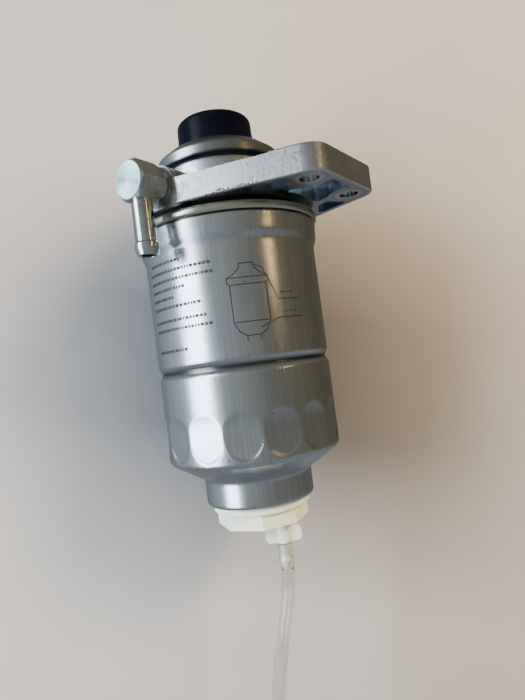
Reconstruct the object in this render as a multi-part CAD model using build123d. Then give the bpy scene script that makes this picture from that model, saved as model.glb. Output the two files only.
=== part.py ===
from build123d import *
from math import atan2, cos, degrees, hypot, pi, radians, sin, sqrt, tan
import os

os.makedirs("parts", exist_ok=True)

# Fuel filter with hand priming pump, in millimetres.
# The origin is the middle of the two mounting bolts on the flange's machined top face.
# +X points out of the flange's free end, +Z up through the pump. The can hangs on -X.

# Clearances
press_gap = 0.05
thread_gap = 0.1
running_gap = 0.1
face_gap = 0.2
loose_gap = 0.3

# Can, a drawn sheet. The round pieces above it take their radius from it.
can_r = 42.0
can_sheet = 0.8
flare_top_growth = 2.1
flare_step_growth = 1.4
flare_height = 8.4
flare_run = 3.8
flare_bend_r = 2.0
groove_below_flare = 53.4
groove_half_height = 2.9
groove_depth = 1.8
groove_bend_r = 1.2
shoulder_below_groove = 42.7
shoulder_r = 3.0
cone_angle = 32.6
neck_r = 26.5
neck_length = 12.7
neck_lip = 3.0
neck_root_r = 1.2
neck_lip_r = 1.6
flat_count = 15
flat_first_angle = -33.0
flat_above_shoulder = 1.9
flat_height = 16.8
flat_fade = 4.6
flat_fade_r = 30.0
flat_depth = 0.83
flat_end_ramp = 1.4

# Mounting flange
bolt_spacing = 35.0
bolt_hole_d = 8.5
bolts_to_filter_axis = 60.5
flange_thickness = 11.8
end_margin = 9.6
front_side_angle = 19.0
back_side_angle = 12.7
back_side_inset = 3.3
front_corner_r = 11.0
back_corner_r = 8.6
machined_step = 0.8
machined_reach = 10.0
casting_edge_r = 0.8

# Underside of the flange
bolt_boss_wall = 5.75
pocket_rim = 3.6
pocket_depth = 7.6
pocket_corner_r = 2.0
pocket_root_r = 1.6
round_land = 1.7
rib_thickness = 4.5
rib_start_offset = 4.3
rib_end_offset = 3.9
rib_start_x = -6.0
rib_reach = 26.5

# Round body of the head, its pump boss and the pump chamber
head_overhang = 0.3
pump_boss_r = 28.0
pump_boss_height = 13.2
pump_flange_overhang = 1.5
pump_flange_thickness = 2.0
pump_boss_root_r = 2.0
pump_flange_edge_r = 0.8
chamber_wall = 4.0
chamber_slope = 3.0
chamber_floor_gap = 0.4
chamber_bend_r = 2.0

# Side ports, one on each side of the head
port_boss_r = 9.4
port_face_inset = 1.3
port_spot_face_r = 14.5
port_axis_z = -2.0
port_bore_r = 3.2
port_thread_r = 6.0
port_thread_length = 12.0

# Pump cover, a bent sheet
cover_sheet = 1.2
cover_lip_room = 0.5
cover_rim_rise = 2.4
cover_curl_r = 1.7
cover_bend_r = 1.2
cover_shoulder_width = 5.7
cover_shoulder_rise = 5.0
ridge_width = 3.8
well_depth = 5.4
guide_collar_height = 3.0

# Priming knob and plunger
plunger_travel = 6.5
knob_clearance = 2.6
knob_taper = 0.4
knob_height = 15.0
knob_wall = 2.0
knob_edge_r = 2.5
knob_top_wall = 2.4
knob_dish_margin = 5.5
knob_dish_depth = 0.8
knob_dish_slope = 1.5
knob_bend_r = 1.0
knob_lip_r = 0.5
knob_boss_wall = 2.5
rod_r = 3.0
rod_socket_depth = 8.0
rod_head_r = 5.0
rod_head_height = 1.5

# Diaphragm between its two plates
diaphragm_sheet = 1.2
diaphragm_bead_width = 2.2
diaphragm_sag = 2.4
diaphragm_fold_room = 10.0
diaphragm_fold_start = 0.6
diaphragm_fold_slope = 2.8
diaphragm_rim_inset = 1.2
diaphragm_rim_slope = 2.6
diaphragm_bend_r = 0.9
plate_thickness = 1.3
plate_step = 0.5

# Return spring in the knob
spring_r = 11.0
spring_wire_d = 1.5
spring_turns = 4.5

# Check valves in the chamber floor
valve_offset = 13.0
valve_seat_r = 4.9
valve_seat_thickness = 2.0
valve_hole_r = 0.9
valve_hole_circle_r = 2.6
valve_hole_count = 5
valve_stem_r = 0.8
valve_flap_margin = 0.7
valve_flap_height = 1.2
valve_flap_rim = 0.4
valve_bulb_growth = 0.5
valve_bulb_length = 0.9
valve_bulb_nose = 0.5
valve_lift_room = 2.0
valve_passage_r = 3.0

# Elbows and hose pipes
elbow_across_flats = 16.0
elbow_length = 15.1
elbow_face_margin = 0.2
elbow_chamfer_angle = 35.0
elbow_collar_length = 4.5
elbow_bore_r = 3.0
washer_thickness = 1.5
washer_r = 9.0
pipe_from_end = 6.1
pipe_r = 4.5
pipe_bore_r = 3.2
pipe_length = 23.5
pipe_bead_growth = 0.7
pipe_bead_length = 5.9
pipe_bead_nose = 3.0
pipe_tip_r = 4.3
pipe_socket_depth = 4.0

# Stud, gasket, seam and top plate of the can
stud_r = 8.0
stud_wall = 4.0
stud_in_head = 7.0
stud_through = 5.2
gasket_inset = 7.0
gasket_width = 5.0
gasket_height = 3.6
gasket_lip_height = 1.0
seam_overhang = 3.0
seam_thickness = 2.1
seam_above_carrier = 1.4
seam_height = 4.4
seam_sheet = 1.0
seam_web_lap = 0.6
carrier_lap = 3.0
top_plate_thickness = 3.2
top_plate_gap = 0.7
inlet_hole_r = 2.2
inlet_hole_circle_r = 20.0
inlet_hole_count = 8

# Filter element
element_inset = 7.0
element_drop = 6.4
element_above_shoulder = 16.7
cap_sheet = 1.0
cap_skirt = 4.0
pleat_count = 40
pleat_margin = 1.0
pleat_to_tube = 2.0
paper_thickness = 0.9
inner_fold_growth = 1.5
tube_r = 13.0
tube_wall = 0.8
tube_slot_count = 6
tube_slot_rows = 4
tube_slot_width = 4.0
tube_slot_height = 12.0
grommet_wall = 3.0
grommet_groove = 1.2
grommet_above = 3.0
grommet_below = 2.0
support_sheet = 1.2
support_leg_width = 11.0
support_leg_count = 4
support_foot_inset = 8.0
support_foot_length = 5.0
support_heel_run = 1.0
support_hub_bend_r = 2.5
support_heel_bend_r = 1.6
support_hub_inset = 2.0

# Neck insert and drain plug
insert_above_lip = 2.3
insert_length = 7.5
plug_wall = 3.2
plug_flange_margin = 0.2
plug_flange_thickness = 3.2
plug_seat_gap = 0.5
plug_floor = 1.0
octagon_across_flats = 41.2
octagon_height = 7.1
octagon_vertex_angle = 36.3
octagon_wall = 3.0
octagon_recess_depth = 4.6
octagon_web = 2.0
plug_ring_section_r = 1.15
plug_ring_groove = 0.2

# Drain cock
cock_offset = 10.7
cock_boss_wall = 2.45
cock_boss_step = 1.5
cock_boss_cap = 2.0
cock_thread_r = 3.6
cock_neck_r = 3.2
cock_collar_margin = 0.15
cock_collar_above = 0.9
cock_collar_height = 2.6
cock_hub_r = 3.3
cock_reach = 9.5
cock_point_length = 1.6
cock_point_wall = 0.3
cock_cross_hole_drop = 2.2
cock_cross_hole_length = 10.0
cock_ring_section_r = 0.9
cock_seal_depth = 3.3
cock_bore_r = 1.2
wing_span = 17.6
wing_thickness = 2.6
wing_below_collar = 1.6
wing_height = 7.5
wing_corner_r = 2.4
wing_angle = 38.8
nozzle_below_wing = 0.7
nozzle_r = 2.1
nozzle_barb_growth = 0.7
nozzle_to_barb = 8.0
nozzle_tip_length = 4.2
nozzle_barb_length = 2.2
nozzle_tip_taper = 0.2

# Drain hose
hose_r = 3.05
hose_wall = 1.0
cuff_growth = 0.2
cuff_slope_length = 3.4
hose_lean_angle = 38.8

# Places that follow from the sizes above, from the flange down
filter_x = -bolts_to_filter_axis
bolt_y = bolt_spacing / 2
bolt_boss_r = bolt_hole_d / 2 + bolt_boss_wall
head_bottom_z = -flange_thickness
body_top_z = -machined_step
seam_r = can_r + seam_overhang
head_r = seam_r + head_overhang
gasket_outer_r = can_r - gasket_inset
gasket_inner_r = gasket_outer_r - gasket_width
gasket_bottom_z = head_bottom_z - gasket_height
seam_top_z = gasket_bottom_z + seam_above_carrier
seam_bottom_z = seam_top_z - seam_height
seam_edge_r = min(seam_thickness, seam_height / 2) - 0.1
plate_top_z = gasket_bottom_z - seam_sheet
plate_bottom_z = plate_top_z - top_plate_thickness
stud_bottom_z = plate_bottom_z - stud_through
flare_step_z = seam_bottom_z - flare_height
flare_end_z = flare_step_z - flare_run
groove_z = flare_end_z - groove_below_flare
shoulder_z = groove_z - shoulder_below_groove
flat_bottom_z = shoulder_z + flat_above_shoulder
flat_top_z = flat_bottom_z + flat_height
cone_end_z = shoulder_z - (can_r - neck_r) * tan(radians(cone_angle))
neck_bottom_z = cone_end_z - neck_length
neck_mouth_r = neck_r - neck_lip
element_r = can_r - element_inset
element_top_z = plate_bottom_z - element_drop
element_bottom_z = shoulder_z + element_above_shoulder
grommet_r = stud_r + grommet_wall
insert_bottom_z = neck_bottom_z + insert_above_lip
insert_top_z = insert_bottom_z + insert_length
plug_thread_r = neck_mouth_r - 2 * plug_ring_section_r - plug_ring_groove
plug_flange_top_z = neck_bottom_z - plug_seat_gap
plug_flange_bottom_z = plug_flange_top_z - plug_flange_thickness
plug_cup_floor_z = plug_flange_bottom_z + plug_floor
octagon_bottom_z = plug_flange_bottom_z - octagon_height

# Places on the cock and its nozzle
cock_x = filter_x + cock_offset
cock_tip_z = octagon_bottom_z + cock_reach
cock_thread_top_z = cock_tip_z - cock_point_length
cock_ring_seat_z = octagon_bottom_z + cock_seal_depth
cock_seal_bore_r = cock_neck_r + press_gap + 2 * cock_ring_section_r + running_gap
cock_collar_r = cock_seal_bore_r - cock_collar_margin
cock_boss_r = cock_seal_bore_r + cock_boss_wall
cock_collar_top_z = octagon_bottom_z + cock_collar_above
cock_collar_bottom_z = cock_collar_top_z - cock_collar_height
wing_top_z = cock_collar_bottom_z - wing_below_collar
wing_bottom_z = wing_top_z - wing_height
cuff_top_z = wing_bottom_z - nozzle_below_wing
nozzle_barb_r = nozzle_r + nozzle_barb_growth
nozzle_barb_z = cuff_top_z - nozzle_to_barb
nozzle_end_z = nozzle_barb_z - nozzle_tip_length

# Places on the pump, from the boss up
pump_flange_r = pump_boss_r + pump_flange_overhang
pump_flange_top_z = pump_boss_height + pump_flange_thickness
chamber_r = pump_boss_r - chamber_wall
cover_rim_r = pump_flange_r + loose_gap + cover_sheet
cover_lip_z = pump_boss_height - running_gap - cover_sheet
cover_rim_top_z = pump_flange_top_z + cover_rim_rise
ridge_outer_r = cover_rim_r - cover_shoulder_width
ridge_inner_r = ridge_outer_r - ridge_width
ridge_top_z = cover_rim_top_z + cover_shoulder_rise
well_floor_z = ridge_top_z - well_depth
upper_plate_z = well_floor_z - cover_sheet - loose_gap - plate_thickness
diaphragm_plate_z = upper_plate_z - diaphragm_sheet
lower_plate_z = diaphragm_plate_z - plate_thickness
plate_r = chamber_r - diaphragm_fold_room
chamber_floor_z = lower_plate_z - rod_head_height - plunger_travel - chamber_floor_gap
knob_bottom_r = ridge_inner_r - knob_clearance
knob_top_r = knob_bottom_r - knob_taper
knob_bottom_z = well_floor_z + plunger_travel + loose_gap
knob_top_z = knob_bottom_z + knob_height
rod_end_z = knob_top_z - knob_top_wall - face_gap

# Places of the ports, elbows and pipes
port_face_y = head_r - port_face_inset
elbow_inner_y = port_face_y + washer_thickness
elbow_end_y = elbow_inner_y + elbow_length
elbow_flat_z = port_axis_z - elbow_across_flats / 2
pipe_axis_y = elbow_end_y - pipe_from_end
pipe_end_z = elbow_flat_z - pipe_length


def corner_side(before, corner, after):
    """Sign of the turn at a corner, positive to the left."""
    a = (corner[0] - before[0], corner[1] - before[1])
    b = (after[0] - corner[0], after[1] - corner[1])
    return 1 if a[0] * b[1] - a[1] * b[0] > 0 else -1


def parallel(points, offset):
    """The same bent line moved to its left by an offset."""
    lines = []
    for (x0, y0), (x1, y1) in zip(points, points[1:]):
        length = hypot(x1 - x0, y1 - y0)
        nx, ny = -(y1 - y0) / length, (x1 - x0) / length
        lines.append((x0 + nx * offset, y0 + ny * offset, x1 - x0, y1 - y0))
    moved = [(lines[0][0], lines[0][1])]
    for (ax, ay, adx, ady), (bx, by, bdx, bdy) in zip(lines, lines[1:]):
        share = ((bx - ax) * bdy - (by - ay) * bdx) / (adx * bdy - ady * bdx)
        moved.append((ax + adx * share, ay + ady * share))
    x0, y0, dx, dy = lines[-1]
    moved.append((x0 + dx, y0 + dy))
    return moved


def sheet_face(points, radii, thickness):
    """Section of a bent sheet about a middle line with a bend radius at each inner point."""
    turns = [corner_side(*points[i : i + 3]) for i in range(len(points) - 2)]
    half = thickness / 2
    left = parallel(points, half)
    right = parallel(points, -half)
    left_r = [r - half * s for r, s in zip(radii, turns)]
    right_r = [r + half * s for r, s in zip(radii, turns)]
    outline = left + right[::-1]
    corners = [0] + left_r + [0, 0] + right_r[::-1] + [0]
    return make_face(FilletPolyline(*outline, radius=corners, close=True))


def spin(face):
    """Body of revolution about Z of a section drawn as radius and height."""
    return revolve(Plane.XZ * face, axis=Axis.Z)


def turned(points, radii=None):
    """Turned part from its outline, with an optional edge radius at each point."""
    if radii is None:
        return spin(make_face(Polyline(*points, close=True)))
    return spin(make_face(FilletPolyline(*points, radius=radii, close=True)))


def rod_between(radius, start, end):
    """Round bar from one point to another."""
    axis = Vector(*end) - Vector(*start)
    return Plane(origin=start, z_dir=axis) * extrude(Circle(radius), axis.length)


def upright(radius, bottom, top):
    """Round bar along Z."""
    return rod_between(radius, (0, 0, bottom), (0, 0, top))


def on_filter_axis(solid):
    """A piece drawn about Z, moved to the filter's axis."""
    return Pos(filter_x, 0, 0) * solid


def side_line_end(distance, angle, side, end_x):
    """Foot and free end of one flange side, a line at a distance from the filter's axis."""
    lean = radians(angle)
    foot = (filter_x + distance * sin(lean), side * distance * cos(lean))
    run = (end_x - foot[0]) / cos(lean)
    return foot, (end_x, foot[1] - side * run * sin(lean))


def flange_outline(inset=0.0):
    """Plan of the flange, two sides that close in on the free end, or a parallel line inside it."""
    end_x = end_margin - inset
    front_foot, front_end = side_line_end(head_r - inset, front_side_angle, -1, end_x)
    back_foot, back_end = side_line_end(head_r - back_side_inset - inset, back_side_angle, 1, end_x)
    points = [(filter_x, 0), front_foot, front_end, back_end, back_foot]
    corners = [0, 0, front_corner_r - inset, back_corner_r - inset, 0]
    return make_face(FilletPolyline(*points, radius=corners, close=True))


def pocket_plan():
    """Plan of the hollows between rim, ribs, bolt bosses and round body, its corners rounded."""
    area = flange_outline(pocket_rim) - Pos(filter_x, 0) * Circle(head_r + round_land)
    for side in (-1, 1):
        area -= Pos(0, side * bolt_y) * Circle(bolt_boss_r)
        start = Vector(rib_start_x, side * (bolt_y - rib_start_offset))
        end = Vector(filter_x + rib_reach, side * (bolt_y + rib_end_offset))
        span = end - start
        turn = degrees(atan2(span.Y, span.X))
        centre = (start + end) * 0.5
        area -= Pos(centre.X, centre.Y) * Rot(0, 0, turn) * Rectangle(span.length, rib_thickness)
    return offset(offset(area, -pocket_corner_r), pocket_corner_r)


def pockets():
    """Hollows of the underside, with a rounded root under the flange's top wall."""
    tool = Pos(0, 0, head_bottom_z) * extrude(pocket_plan(), pocket_depth)
    root_z = head_bottom_z + pocket_depth
    return fillet(tool.edges().filter_by_position(Axis.Z, root_z, root_z), pocket_root_r)


def pump_boss():
    """Round boss with the crimping flange on top, and its root rounded into the head."""
    points = [
        (0, head_bottom_z),
        (pump_boss_r + pump_boss_root_r, head_bottom_z),
        (pump_boss_r + pump_boss_root_r, body_top_z),
        (pump_boss_r, body_top_z + pump_boss_root_r),
        (pump_boss_r, pump_boss_height),
        (pump_flange_r, pump_boss_height),
        (pump_flange_r, pump_flange_top_z),
        (0, pump_flange_top_z),
    ]
    return on_filter_axis(turned(points, [0, 0, 0, 0, 0, pump_flange_edge_r, 0.3, 0]))


def pump_chamber():
    """Hollow under the diaphragm, with a sloping wall."""
    points = [
        (0, chamber_floor_z),
        (chamber_r - chamber_slope, chamber_floor_z),
        (chamber_r, pump_flange_top_z + 1),
        (0, pump_flange_top_z + 1),
    ]
    return on_filter_axis(turned(points, [0, chamber_bend_r, 0, 0]))


def filter_head():
    """Die-cast head: round body, flange, pump boss, side ports, valve pockets and passages."""
    plan = Pos(filter_x, 0) * Circle(head_r) + flange_outline()
    plate = Pos(0, 0, head_bottom_z) * extrude(plan, flange_thickness)
    edges = plate.faces().sort_by(Axis.Z)[0].edges() + plate.faces().sort_by(Axis.Z)[-1].edges()
    head = fillet(edges, casting_edge_r)
    step_start = -machined_reach
    head -= Pos(step_start - 100, 0, body_top_z + 50) * Box(200, 200, 100)
    head += pump_boss()
    for side in (-1, 1):
        face = (filter_x, side * port_face_y, port_axis_z)
        head += rod_between(port_boss_r, (filter_x, side * pump_boss_r / 2, port_axis_z), face)
        clear = (filter_x, side * (port_face_y + head_r), port_axis_z)
        head -= rod_between(port_spot_face_r, face, clear)
    head -= Pos(filter_x, 0, head_bottom_z - 50) * Box(200, 200, 100)
    head -= pump_chamber()
    head -= pockets()
    for side in (-1, 1):
        head -= rod_between(bolt_hole_d / 2, (0, side * bolt_y, head_bottom_z), (0, side * bolt_y, 0))
    return head - head_passages()


def head_passages():
    """Fuel ways: threaded side ports, valve pockets, outlet way and threaded stud hole."""
    thread_bottom_y = port_face_y - port_thread_length - loose_gap
    seat_bottom = chamber_floor_z - valve_seat_thickness
    ways = []
    for side in (-1, 1):
        mouth = (filter_x, side * port_face_y, port_axis_z)
        neck = (filter_x, side * thread_bottom_y, port_axis_z)
        ways.append(rod_between(port_thread_r + press_gap, neck, mouth))
    inlet_neck = (filter_x, -thread_bottom_y, port_axis_z)
    ways.append(rod_between(port_bore_r, (filter_x, -valve_offset, port_axis_z), inlet_neck))
    outlet_neck = (filter_x, thread_bottom_y, port_axis_z)
    ways.append(rod_between(port_bore_r, (filter_x, 0, port_axis_z), outlet_neck))
    inlet_valve = Pos(filter_x, -valve_offset, 0)
    ways.append(inlet_valve * upright(valve_seat_r + press_gap, seat_bottom, chamber_floor_z))
    ways.append(inlet_valve * upright(valve_passage_r, port_axis_z, seat_bottom))
    outlet_valve = Pos(filter_x - valve_offset, 0, 0)
    flap_room = seat_bottom - valve_flap_height - valve_lift_room
    ways.append(outlet_valve * upright(valve_seat_r + press_gap, flap_room, chamber_floor_z))
    ways.append(outlet_valve * upright(valve_passage_r, head_bottom_z, flap_room))
    stud_top = head_bottom_z + stud_in_head + loose_gap
    ways.append(on_filter_axis(upright(stud_r + press_gap, head_bottom_z, stud_top)))
    ways.append(on_filter_axis(upright(stud_r - stud_wall, stud_top, port_axis_z)))
    whole = ways[0]
    for way in ways[1:]:
        whole += way
    return whole


def pump_cover():
    """Pressed cover: crimped rim, sloping shoulder, raised ridge and a well for the knob."""
    half = cover_sheet / 2
    hole = rod_r + running_gap + half
    points = [
        (pump_boss_r + cover_lip_room, cover_lip_z + half),
        (cover_rim_r - half, cover_lip_z + half),
        (cover_rim_r - half, cover_rim_top_z),
        (ridge_outer_r - half, ridge_top_z - half),
        (ridge_inner_r - half, ridge_top_z - half),
        (ridge_inner_r - half, well_floor_z - half),
        (hole, well_floor_z - half),
        (hole, well_floor_z + guide_collar_height),
    ]
    return on_filter_axis(spin(sheet_face(points, [cover_curl_r] + [cover_bend_r] * 5, cover_sheet)))


def knob():
    """Hollow push knob with a dished top and a boss that holds the rod."""
    inner_top_z = knob_top_z - knob_top_wall
    boss_bottom_z = inner_top_z - rod_socket_depth
    knob_boss_r = rod_r + knob_boss_wall
    knob_dish_r = knob_top_r - knob_dish_margin
    points = [
        (0, knob_top_z - knob_dish_depth),
        (knob_dish_r, knob_top_z - knob_dish_depth),
        (knob_dish_r + knob_dish_slope, knob_top_z),
        (knob_top_r, knob_top_z),
        (knob_bottom_r, knob_bottom_z),
        (knob_bottom_r - knob_wall, knob_bottom_z),
        (knob_top_r - knob_wall, inner_top_z),
        (knob_boss_r, inner_top_z),
        (knob_boss_r, boss_bottom_z),
        (0, boss_bottom_z),
    ]
    dish = [knob_bend_r] * 2
    inside = [knob_bend_r, knob_lip_r, knob_lip_r]
    body = turned(points, [0] + dish + [knob_edge_r, knob_lip_r, knob_lip_r] + inside + [0])
    socket = upright(rod_r + press_gap, boss_bottom_z, rod_end_z)
    return on_filter_axis(body - socket)


def plunger_rod():
    """Rod with a flat riveted head under the lower plate."""
    points = [
        (0, lower_plate_z - rod_head_height),
        (rod_head_r, lower_plate_z - rod_head_height),
        (rod_head_r, lower_plate_z),
        (rod_r, lower_plate_z),
        (rod_r, rod_end_z),
        (0, rod_end_z),
    ]
    return on_filter_axis(turned(points, [0, 0.5, 0, 0, 0.4, 0]))


def clamp_plate(bottom_z, radius):
    """Washer that grips the diaphragm, with rounded edges."""
    top_z = bottom_z + plate_thickness
    hole = rod_r + press_gap
    points = [(hole, bottom_z), (radius, bottom_z), (radius, top_z), (hole, top_z)]
    return on_filter_axis(turned(points, [0, 0.5, 0.5, 0]))


def under_cover_z(radius):
    """Height just under the cover's sloping shoulder at a radius."""
    half = cover_sheet / 2
    rise = ridge_top_z - half - cover_rim_top_z
    run = cover_rim_r - ridge_outer_r
    middle_z = cover_rim_top_z + rise / run * (cover_rim_r - half - radius)
    return middle_z - (half + press_gap) * hypot(rise, run) / run


def diaphragm():
    """Rubber disc with a rolled fold and a thick bead gripped under the cover."""
    half = diaphragm_sheet / 2
    middle_z = diaphragm_plate_z + half
    rim_z = pump_flange_top_z + half
    fold_z = middle_z - diaphragm_sag
    bead_r = pump_flange_r - loose_gap
    bead_inner_r = bead_r - diaphragm_bead_width
    fold_r = plate_r + diaphragm_fold_start
    rise_r = chamber_r - diaphragm_rim_inset
    points = [
        (rod_r + press_gap, middle_z),
        (fold_r, middle_z),
        (fold_r + diaphragm_fold_slope, fold_z),
        (rise_r - diaphragm_rim_slope, fold_z),
        (rise_r, rim_z),
        (bead_inner_r + 1, rim_z),
    ]
    web = spin(sheet_face(points, [diaphragm_bend_r] * 4, diaphragm_sheet))
    bead = turned(
        [
            (bead_inner_r, pump_flange_top_z),
            (bead_r, pump_flange_top_z),
            (bead_r, under_cover_z(bead_r)),
            (bead_inner_r, under_cover_z(bead_inner_r)),
        ],
        [0, 0.3, 0.5, 0.5],
    )
    return on_filter_axis(web + bead)


def return_spring():
    """Coil spring between the cover's well and the knob's top."""
    bottom_z = well_floor_z + spring_wire_d / 2
    height = knob_top_z - knob_top_wall - spring_wire_d / 2 - bottom_z
    path = Helix(height / spring_turns, height, spring_r)
    section = Plane(origin=path @ 0, z_dir=path % 0) * Circle(spring_wire_d / 2)
    return on_filter_axis(Pos(0, 0, bottom_z) * sweep(section, path=path, is_frenet=True))


def valve_seat():
    """Round brass seat with a ring of fuel holes and a hole for the flap's stem."""
    seat = upright(valve_seat_r, 0, valve_seat_thickness)
    hole = upright(valve_hole_r, 0, valve_seat_thickness)
    for place in PolarLocations(valve_hole_circle_r, valve_hole_count):
        seat -= place * hole
    return seat - upright(valve_stem_r + press_gap, 0, valve_seat_thickness)


def valve_flap():
    """Rubber umbrella flap with its stem through the seat and a bulb behind it."""
    top_z = valve_seat_thickness
    bulb_r = valve_stem_r + valve_bulb_growth
    flap_r = valve_seat_r - valve_flap_margin
    points = [
        (0, -valve_bulb_length - valve_bulb_nose),
        (bulb_r, -valve_bulb_length),
        (bulb_r, -face_gap / 2),
        (valve_stem_r, -face_gap / 2),
        (valve_stem_r, top_z),
        (flap_r, top_z),
        (flap_r, top_z + valve_flap_rim),
        (0, top_z + valve_flap_height),
    ]
    return turned(points)


def place_inlet_valve(piece):
    """Inlet valve opens upward into the chamber."""
    return Pos(filter_x, -valve_offset, chamber_floor_z - valve_seat_thickness) * piece


def place_outlet_valve(piece):
    """Outlet valve opens downward, out of the chamber."""
    return Pos(filter_x - valve_offset, 0, chamber_floor_z) * Rot(180, 0, 0) * piece


def elbow():
    """Hexagon bar elbow about its own axis Y, port face at y = 0, pipe on -Z."""
    length = elbow_length
    inscribed_r = elbow_across_flats / 2
    corner_r = inscribed_r / cos(radians(30))
    face_r = inscribed_r - elbow_face_margin
    lie = Rot(90, 0, 0)
    bar = lie * extrude(RegularPolygon(corner_r, 6), length)
    chamfer_depth = (corner_r - face_r) * tan(radians(elbow_chamfer_angle))
    trim = [
        (0, 0),
        (inscribed_r, 0),
        (corner_r, elbow_collar_length),
        (corner_r, length - chamfer_depth),
        (face_r, length),
        (0, length),
    ]
    body = bar & (lie * turned(trim))
    body += lie * upright(port_thread_r, -port_thread_length - washer_thickness, 0)
    pipe_y = pipe_from_end - length
    bore_start = port_thread_length + washer_thickness
    body -= rod_between(elbow_bore_r, (0, bore_start, 0), (0, pipe_y - elbow_bore_r, 0))
    socket_z = pipe_socket_depth - inscribed_r
    body -= rod_between(pipe_r + press_gap, (0, pipe_y, -inscribed_r), (0, pipe_y, socket_z))
    body -= rod_between(elbow_bore_r, (0, pipe_y, socket_z), (0, pipe_y, 0))
    return Pos(0, -elbow_inner_y, 0) * body


def hose_pipe():
    """Tube brazed into the elbow, with a rolled bead at its open end."""
    top_z = elbow_flat_z + pipe_socket_depth - face_gap
    bead_top_z = pipe_end_z + pipe_bead_length
    pipe_bead_r = pipe_r + pipe_bead_growth
    points = [
        (pipe_bore_r, top_z),
        (pipe_bore_r, pipe_end_z),
        (pipe_tip_r, pipe_end_z),
        (pipe_bead_r, pipe_end_z + pipe_bead_nose),
        (pipe_bead_r, bead_top_z - 0.8),
        (pipe_r, bead_top_z),
        (pipe_r, top_z),
    ]
    return Pos(filter_x, -pipe_axis_y, 0) * turned(points, [0, 0.3, 0.5, 1.0, 0.5, 0.3, 0])


def port_washer():
    """Flat sealing washer between elbow and port boss."""
    hole = upright(port_thread_r + press_gap, 0, washer_thickness)
    ring = upright(washer_r, 0, washer_thickness) - hole
    return Pos(filter_x, -port_face_y, port_axis_z) * Rot(90, 0, 0) * ring


def other_side(solid):
    """The same piece turned half way round the filter's axis."""
    return on_filter_axis(Rot(0, 0, 180) * (Pos(-filter_x, 0, 0) * solid))


def centre_stud():
    """Hollow threaded stud from the head down through the can's top plate."""
    top_z = head_bottom_z + stud_in_head
    bore_r = stud_r - stud_wall
    points = [
        (bore_r, top_z),
        (stud_r, top_z),
        (stud_r, stud_bottom_z),
        (bore_r, stud_bottom_z),
    ]
    return on_filter_axis(turned(points, [0, 0.8, 0.8, 0]))


def head_gasket():
    """Square-cut rubber ring between head and can."""
    points = [
        (gasket_inner_r, gasket_bottom_z),
        (gasket_outer_r, gasket_bottom_z),
        (gasket_outer_r, head_bottom_z),
        (gasket_inner_r, head_bottom_z),
    ]
    return on_filter_axis(turned(points, [0.6, 0.6, 0.6, 0.6]))


def seam_ring():
    """Rolled seam bead and the thin carrier that holds the gasket."""
    inner_r = seam_r - seam_thickness
    lip_r = gasket_outer_r + loose_gap + seam_sheet
    carrier_inner_r = gasket_inner_r - carrier_lap
    lip_top_z = gasket_bottom_z + gasket_lip_height
    points = [
        (carrier_inner_r, plate_top_z),
        (inner_r - seam_web_lap, plate_top_z),
        (inner_r, seam_bottom_z),
        (seam_r, seam_bottom_z),
        (seam_r, seam_top_z),
        (inner_r, seam_top_z),
        (inner_r - seam_web_lap, gasket_bottom_z),
        (lip_r, gasket_bottom_z),
        (lip_r, lip_top_z),
        (lip_r - seam_sheet, lip_top_z),
        (lip_r - seam_sheet, gasket_bottom_z),
        (carrier_inner_r, gasket_bottom_z),
    ]
    return on_filter_axis(turned(points, [0, 0, 0, seam_edge_r, seam_edge_r, 0, 0, 0, 0, 0, 0, 0]))


def top_plate():
    """Thick plate with the stud's threaded hole and a ring of inlet holes."""
    plate = upright(can_r - can_sheet - top_plate_gap, plate_bottom_z, plate_top_z)
    plate -= upright(stud_r + press_gap, plate_bottom_z, plate_top_z)
    hole = upright(inlet_hole_r, plate_bottom_z, plate_top_z)
    for place in PolarLocations(inlet_hole_circle_r, inlet_hole_count):
        plate -= place * hole
    return on_filter_axis(plate)


def cone_z(radius):
    """Height of the can's outer cone at a radius."""
    return shoulder_z - (can_r - radius) * tan(radians(cone_angle))


def can_surface(inset):
    """Solid within the can's outer face moved inward by an inset."""
    slope = radians(cone_angle)
    drop = inset / cos(slope)
    body_r = can_r - inset
    small_r = neck_r - inset
    groove_r = body_r - groove_depth
    points = [
        (0, seam_bottom_z),
        (body_r + flare_top_growth, seam_bottom_z),
        (body_r + flare_step_growth, flare_step_z),
        (body_r, flare_end_z),
        (body_r, groove_z + groove_half_height),
        (groove_r, groove_z),
        (body_r, groove_z - groove_half_height),
        (body_r, cone_z(body_r) + drop),
        (small_r, cone_z(small_r) + drop),
        (small_r, neck_bottom_z + inset),
        (0, neck_bottom_z + inset),
    ]
    bends = [flare_bend_r] * 2 + [groove_bend_r] * 3
    radii = [0, 0] + bends + [shoulder_r - inset, neck_root_r + inset, neck_lip_r - inset, 0]
    solid = turned(points, radii)
    for index in range(flat_count):
        angle = flat_first_angle + index * 360 / flat_count
        solid -= Rot(0, 0, angle) * flat_cutter(body_r)
    return solid


def flat_outline(half_width, low_centre_z, top_z):
    """Outline of a flat on a plane across the can, with straight sides and a round lower end."""
    upper = [(-half_width, top_z), (half_width, top_z)]
    sides = Polyline((-half_width, low_centre_z), *upper, (half_width, low_centre_z))
    return make_face(sides + CenterArc((0, low_centre_z), half_width, 180, 180))


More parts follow.
